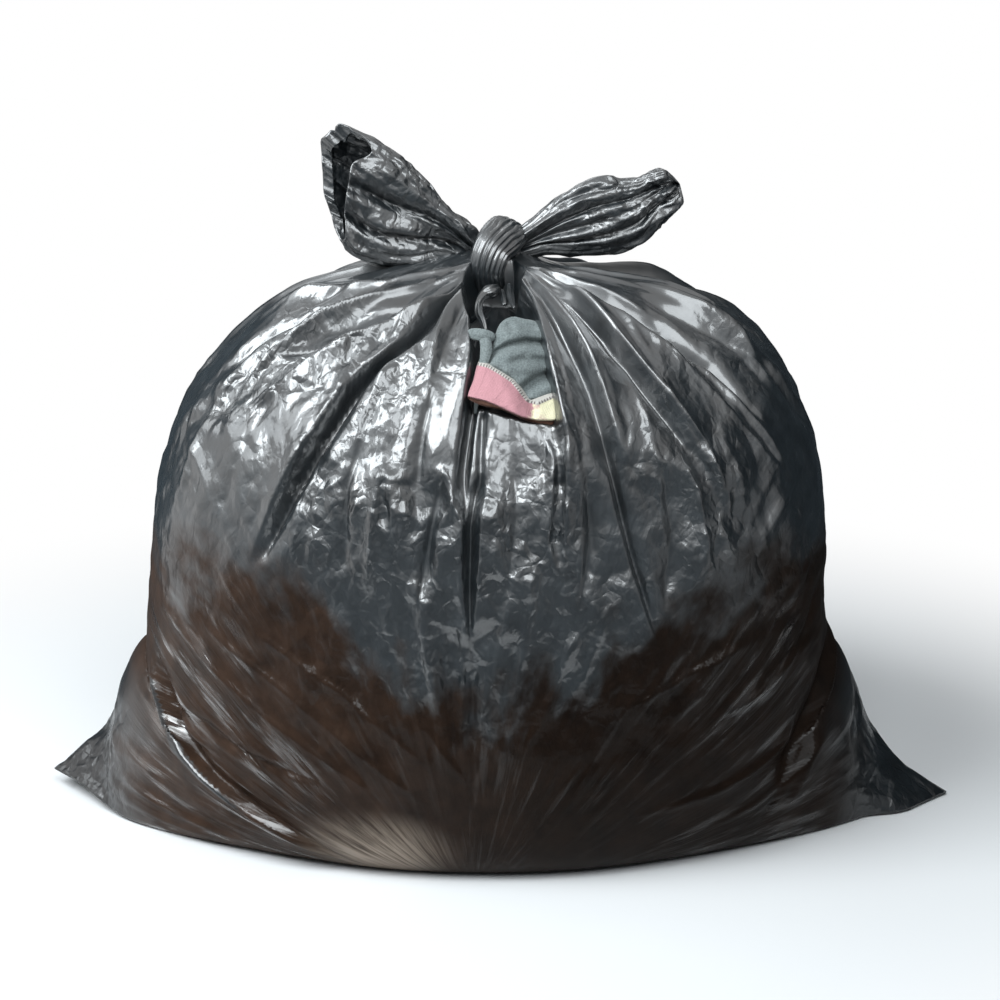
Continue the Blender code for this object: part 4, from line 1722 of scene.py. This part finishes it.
@dataclass(frozen=True)
class Flag:
    """A curved card beside the sack with soft edges, seen only in reflections.

    It is centred on an azimuth in degrees and reaches as far to either side, with its apron along the
    floor, and fades out between two heights.
    """

    name: str
    azimuth: float
    reach: float
    colour: str
    fades: tuple[float, float]
    radius: float = 0.80
    apron: float = 0.42

    def place(self, around: Array, share: Array) -> tuple[Array, Weave]:
        """Lays the card and says how solid it is.

        Args:
            around: shares of the way round it.
            share: shares of the way out along the floor and up.

        Returns:
            Positions, and how solid the card is.
        """
        off = (around - 0.5) * 2.0
        turn = np.radians(self.azimuth + off * self.reach)
        run = share * (self.apron + self.fades[1])
        height = np.maximum(run - self.apron, 0.0)
        radius = self.radius - np.maximum(self.apron - run, 0.0)
        solid = smooth(np.abs(off), 1.0, 0.4) * smooth(height, self.fades[1], self.fades[0])
        solid *= smooth(run, 0.0, 0.15)
        return join(radius * np.cos(turn), radius * np.sin(turn), height + 1.0 * MM), Weave(solid=solid)

    def build(self) -> bpy.types.Object:
        """Builds the card.

        Returns:
            The card.
        """
        flag = lay_sheet(self.name, 60, 40, self.place, welded=False)
        material, shader, add = start_material(self.name + "_card", {})
        output = material.node_tree.nodes["Material Output"]
        material.node_tree.nodes.remove(shader)
        solid = add("Attribute", attribute_name="solid").outputs["Fac"]
        grey = add("Emission", {"Color": linear(self.colour)})
        connect(output, {"Surface": add("MixShader", {0: solid, 1: add("BsdfTransparent"), 2: grey})})
        flag.data.materials.append(material)
        for kind in ("camera", "diffuse", "shadow", "transmission", "volume_scatter"):
            setattr(flag, "visible_" + kind, False)
        return flag


FLAGS = (
    Flag("right_flag", 32.0, 72.0, "#2A3136", (0.70, 1.30)),
    Flag("front_flag", 270.0, 100.0, "#6E767C", (0.20, 0.75), radius=0.85),
    Flag("left_flag", 127.0, 44.0, "#36424A", (0.60, 1.10), radius=0.75),
)


@dataclass(frozen=True)
class Studio:
    """The pale floor, the soft lamps and the camera."""

    target: tuple[float, float, float] = (0.00775, 0.0, 0.236)
    elevation: float = 17.0
    distance: float = 2.2
    focal_length: float = 102.2
    floor_side: float = 60.0
    floor_colour: str = "#E9E9E9"
    world_colour: str = "#E9EDF2"
    world_strength: float = 0.12
    shadow_reach: tuple[float, float] = (0.38, 0.80)

    def camera(self) -> None:
        """Places the camera in front of the sack, looking down at it a little."""
        data = bpy.data.cameras.new("camera")
        data.lens = self.focal_length
        data.sensor_width = 36.0
        data.clip_end = 100.0
        camera = bpy.data.objects.new("camera", data)
        rise = math.radians(self.elevation)
        away = Vector((0.0, -math.cos(rise), math.sin(rise)))
        camera.location = Vector(self.target) + away * self.distance
        camera.rotation_euler = (math.pi / 2 - rise, 0.0, 0.0)
        bpy.context.scene.collection.objects.link(camera)
        bpy.context.scene.camera = camera

    def seen_directly(self, tree: bpy.types.NodeTree) -> bpy.types.NodeSocket:
        """A value that is 1 for what the camera sees, straight, mirrored or through something clear.

        Args:
            tree: the node tree it goes in.

        Returns:
            The value's socket.
        """
        path = add_node(tree, "LightPath").outputs
        value = path["Is Camera Ray"]
        for name in ("Is Glossy Ray", "Is Transmission Ray"):
            value = add_node(tree, "Math", {0: value, 1: path[name]}, operation="MAXIMUM")
        return value

    def paper(self) -> bpy.types.Material:
        """White paper that takes the sack's shadow and is plain white further away.

        Returns:
            The material.
        """
        matt = {"Base Color": linear(self.floor_colour), "Roughness": 0.9, "Specular IOR Level": 0.2}
        material, shader, add = start_material("matt_white_paper", matt)
        tree = material.node_tree
        far = add("VectorMath", {0: add("TexCoord").outputs["Object"]}, operation="LENGTH")
        plain = add("MapRange", {"Value": far, **span(*self.shadow_reach)}, interpolation_type="SMOOTHSTEP")
        share = add("Math", {0: self.seen_directly(tree), 1: plain}, operation="MULTIPLY")
        mix = add("MixShader", {0: share, 1: shader, 2: add("Emission", {"Strength": 1.0})})
        connect(tree.nodes["Material Output"], {"Surface": mix})
        return material

    def world(self) -> None:
        """A dim even world that is white where it is seen."""
        world = bpy.data.worlds.new("world")
        world.use_nodes = True
        bpy.context.scene.world = world
        tree = world.node_tree
        background = tree.nodes["Background"]
        connect(background, {"Color": linear(self.world_colour), "Strength": self.world_strength})
        white = add_node(tree, "Background", {"Strength": 1.0})
        mix = add_node(tree, "MixShader", {0: self.seen_directly(tree), 1: background, 2: white})
        connect(tree.nodes["World Output"], {"Surface": mix})

    def build(self) -> None:
        """Builds the whole studio."""
        self.camera()
        for lamp in LAMPS:
            lamp.build()
        shape = bmesh.new()
        bmesh.ops.create_grid(shape, x_segments=1, y_segments=1, size=self.floor_side / 2)
        mesh = bpy.data.meshes.new("floor")
        shape.to_mesh(mesh)
        shape.free()
        mesh.materials.append(self.paper())
        floor = bpy.data.objects.new("floor", mesh)
        floor.location.z = -0.5 * MM
        bpy.context.scene.collection.objects.link(floor)
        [flag.build() for flag in FLAGS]
        self.world()
        bpy.context.scene.view_settings.view_transform = "Standard"


def add_piece(piece: bpy.types.Object, material: bpy.types.Material, node: str) -> None:
    """Gives a piece its finish, its place in the frame and the CAD solid that it stands for.

    Args:
        piece: the piece.
        material: its finish.
        node: the CAD solid.
    """
    piece.data.materials.append(material)
    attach(piece, "root")
    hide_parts(node)
    LOG.info("%s: %d faces", piece.name, len(piece.data.polygons))


def main() -> None:
    """Builds the sack, the garment and the studio."""
    logging.basicConfig(level=logging.INFO, format="%(message)s")
    Studio().build()
    film = BlackFilm().material()
    body = SackBody().build()
    add_piece(body, film, "refuse_sack")
    for piece in (LEFT_END.build(), RIGHT_END.build(), *Knot().build()):
        add_piece(piece, film, "refuse_sack")
    for strand in FILM_STRANDS:
        add_piece(strand.build(), film, "refuse_sack")
    sleeve_pieces, cuff = Garment().build()
    knit = HeatherKnit().material()
    for piece in sleeve_pieces:
        add_piece(piece, knit, "garment_sleeve")
    add_piece(cuff, CuffRib().material(), "garment_cuff")


if __name__ == "__main__":
    main()
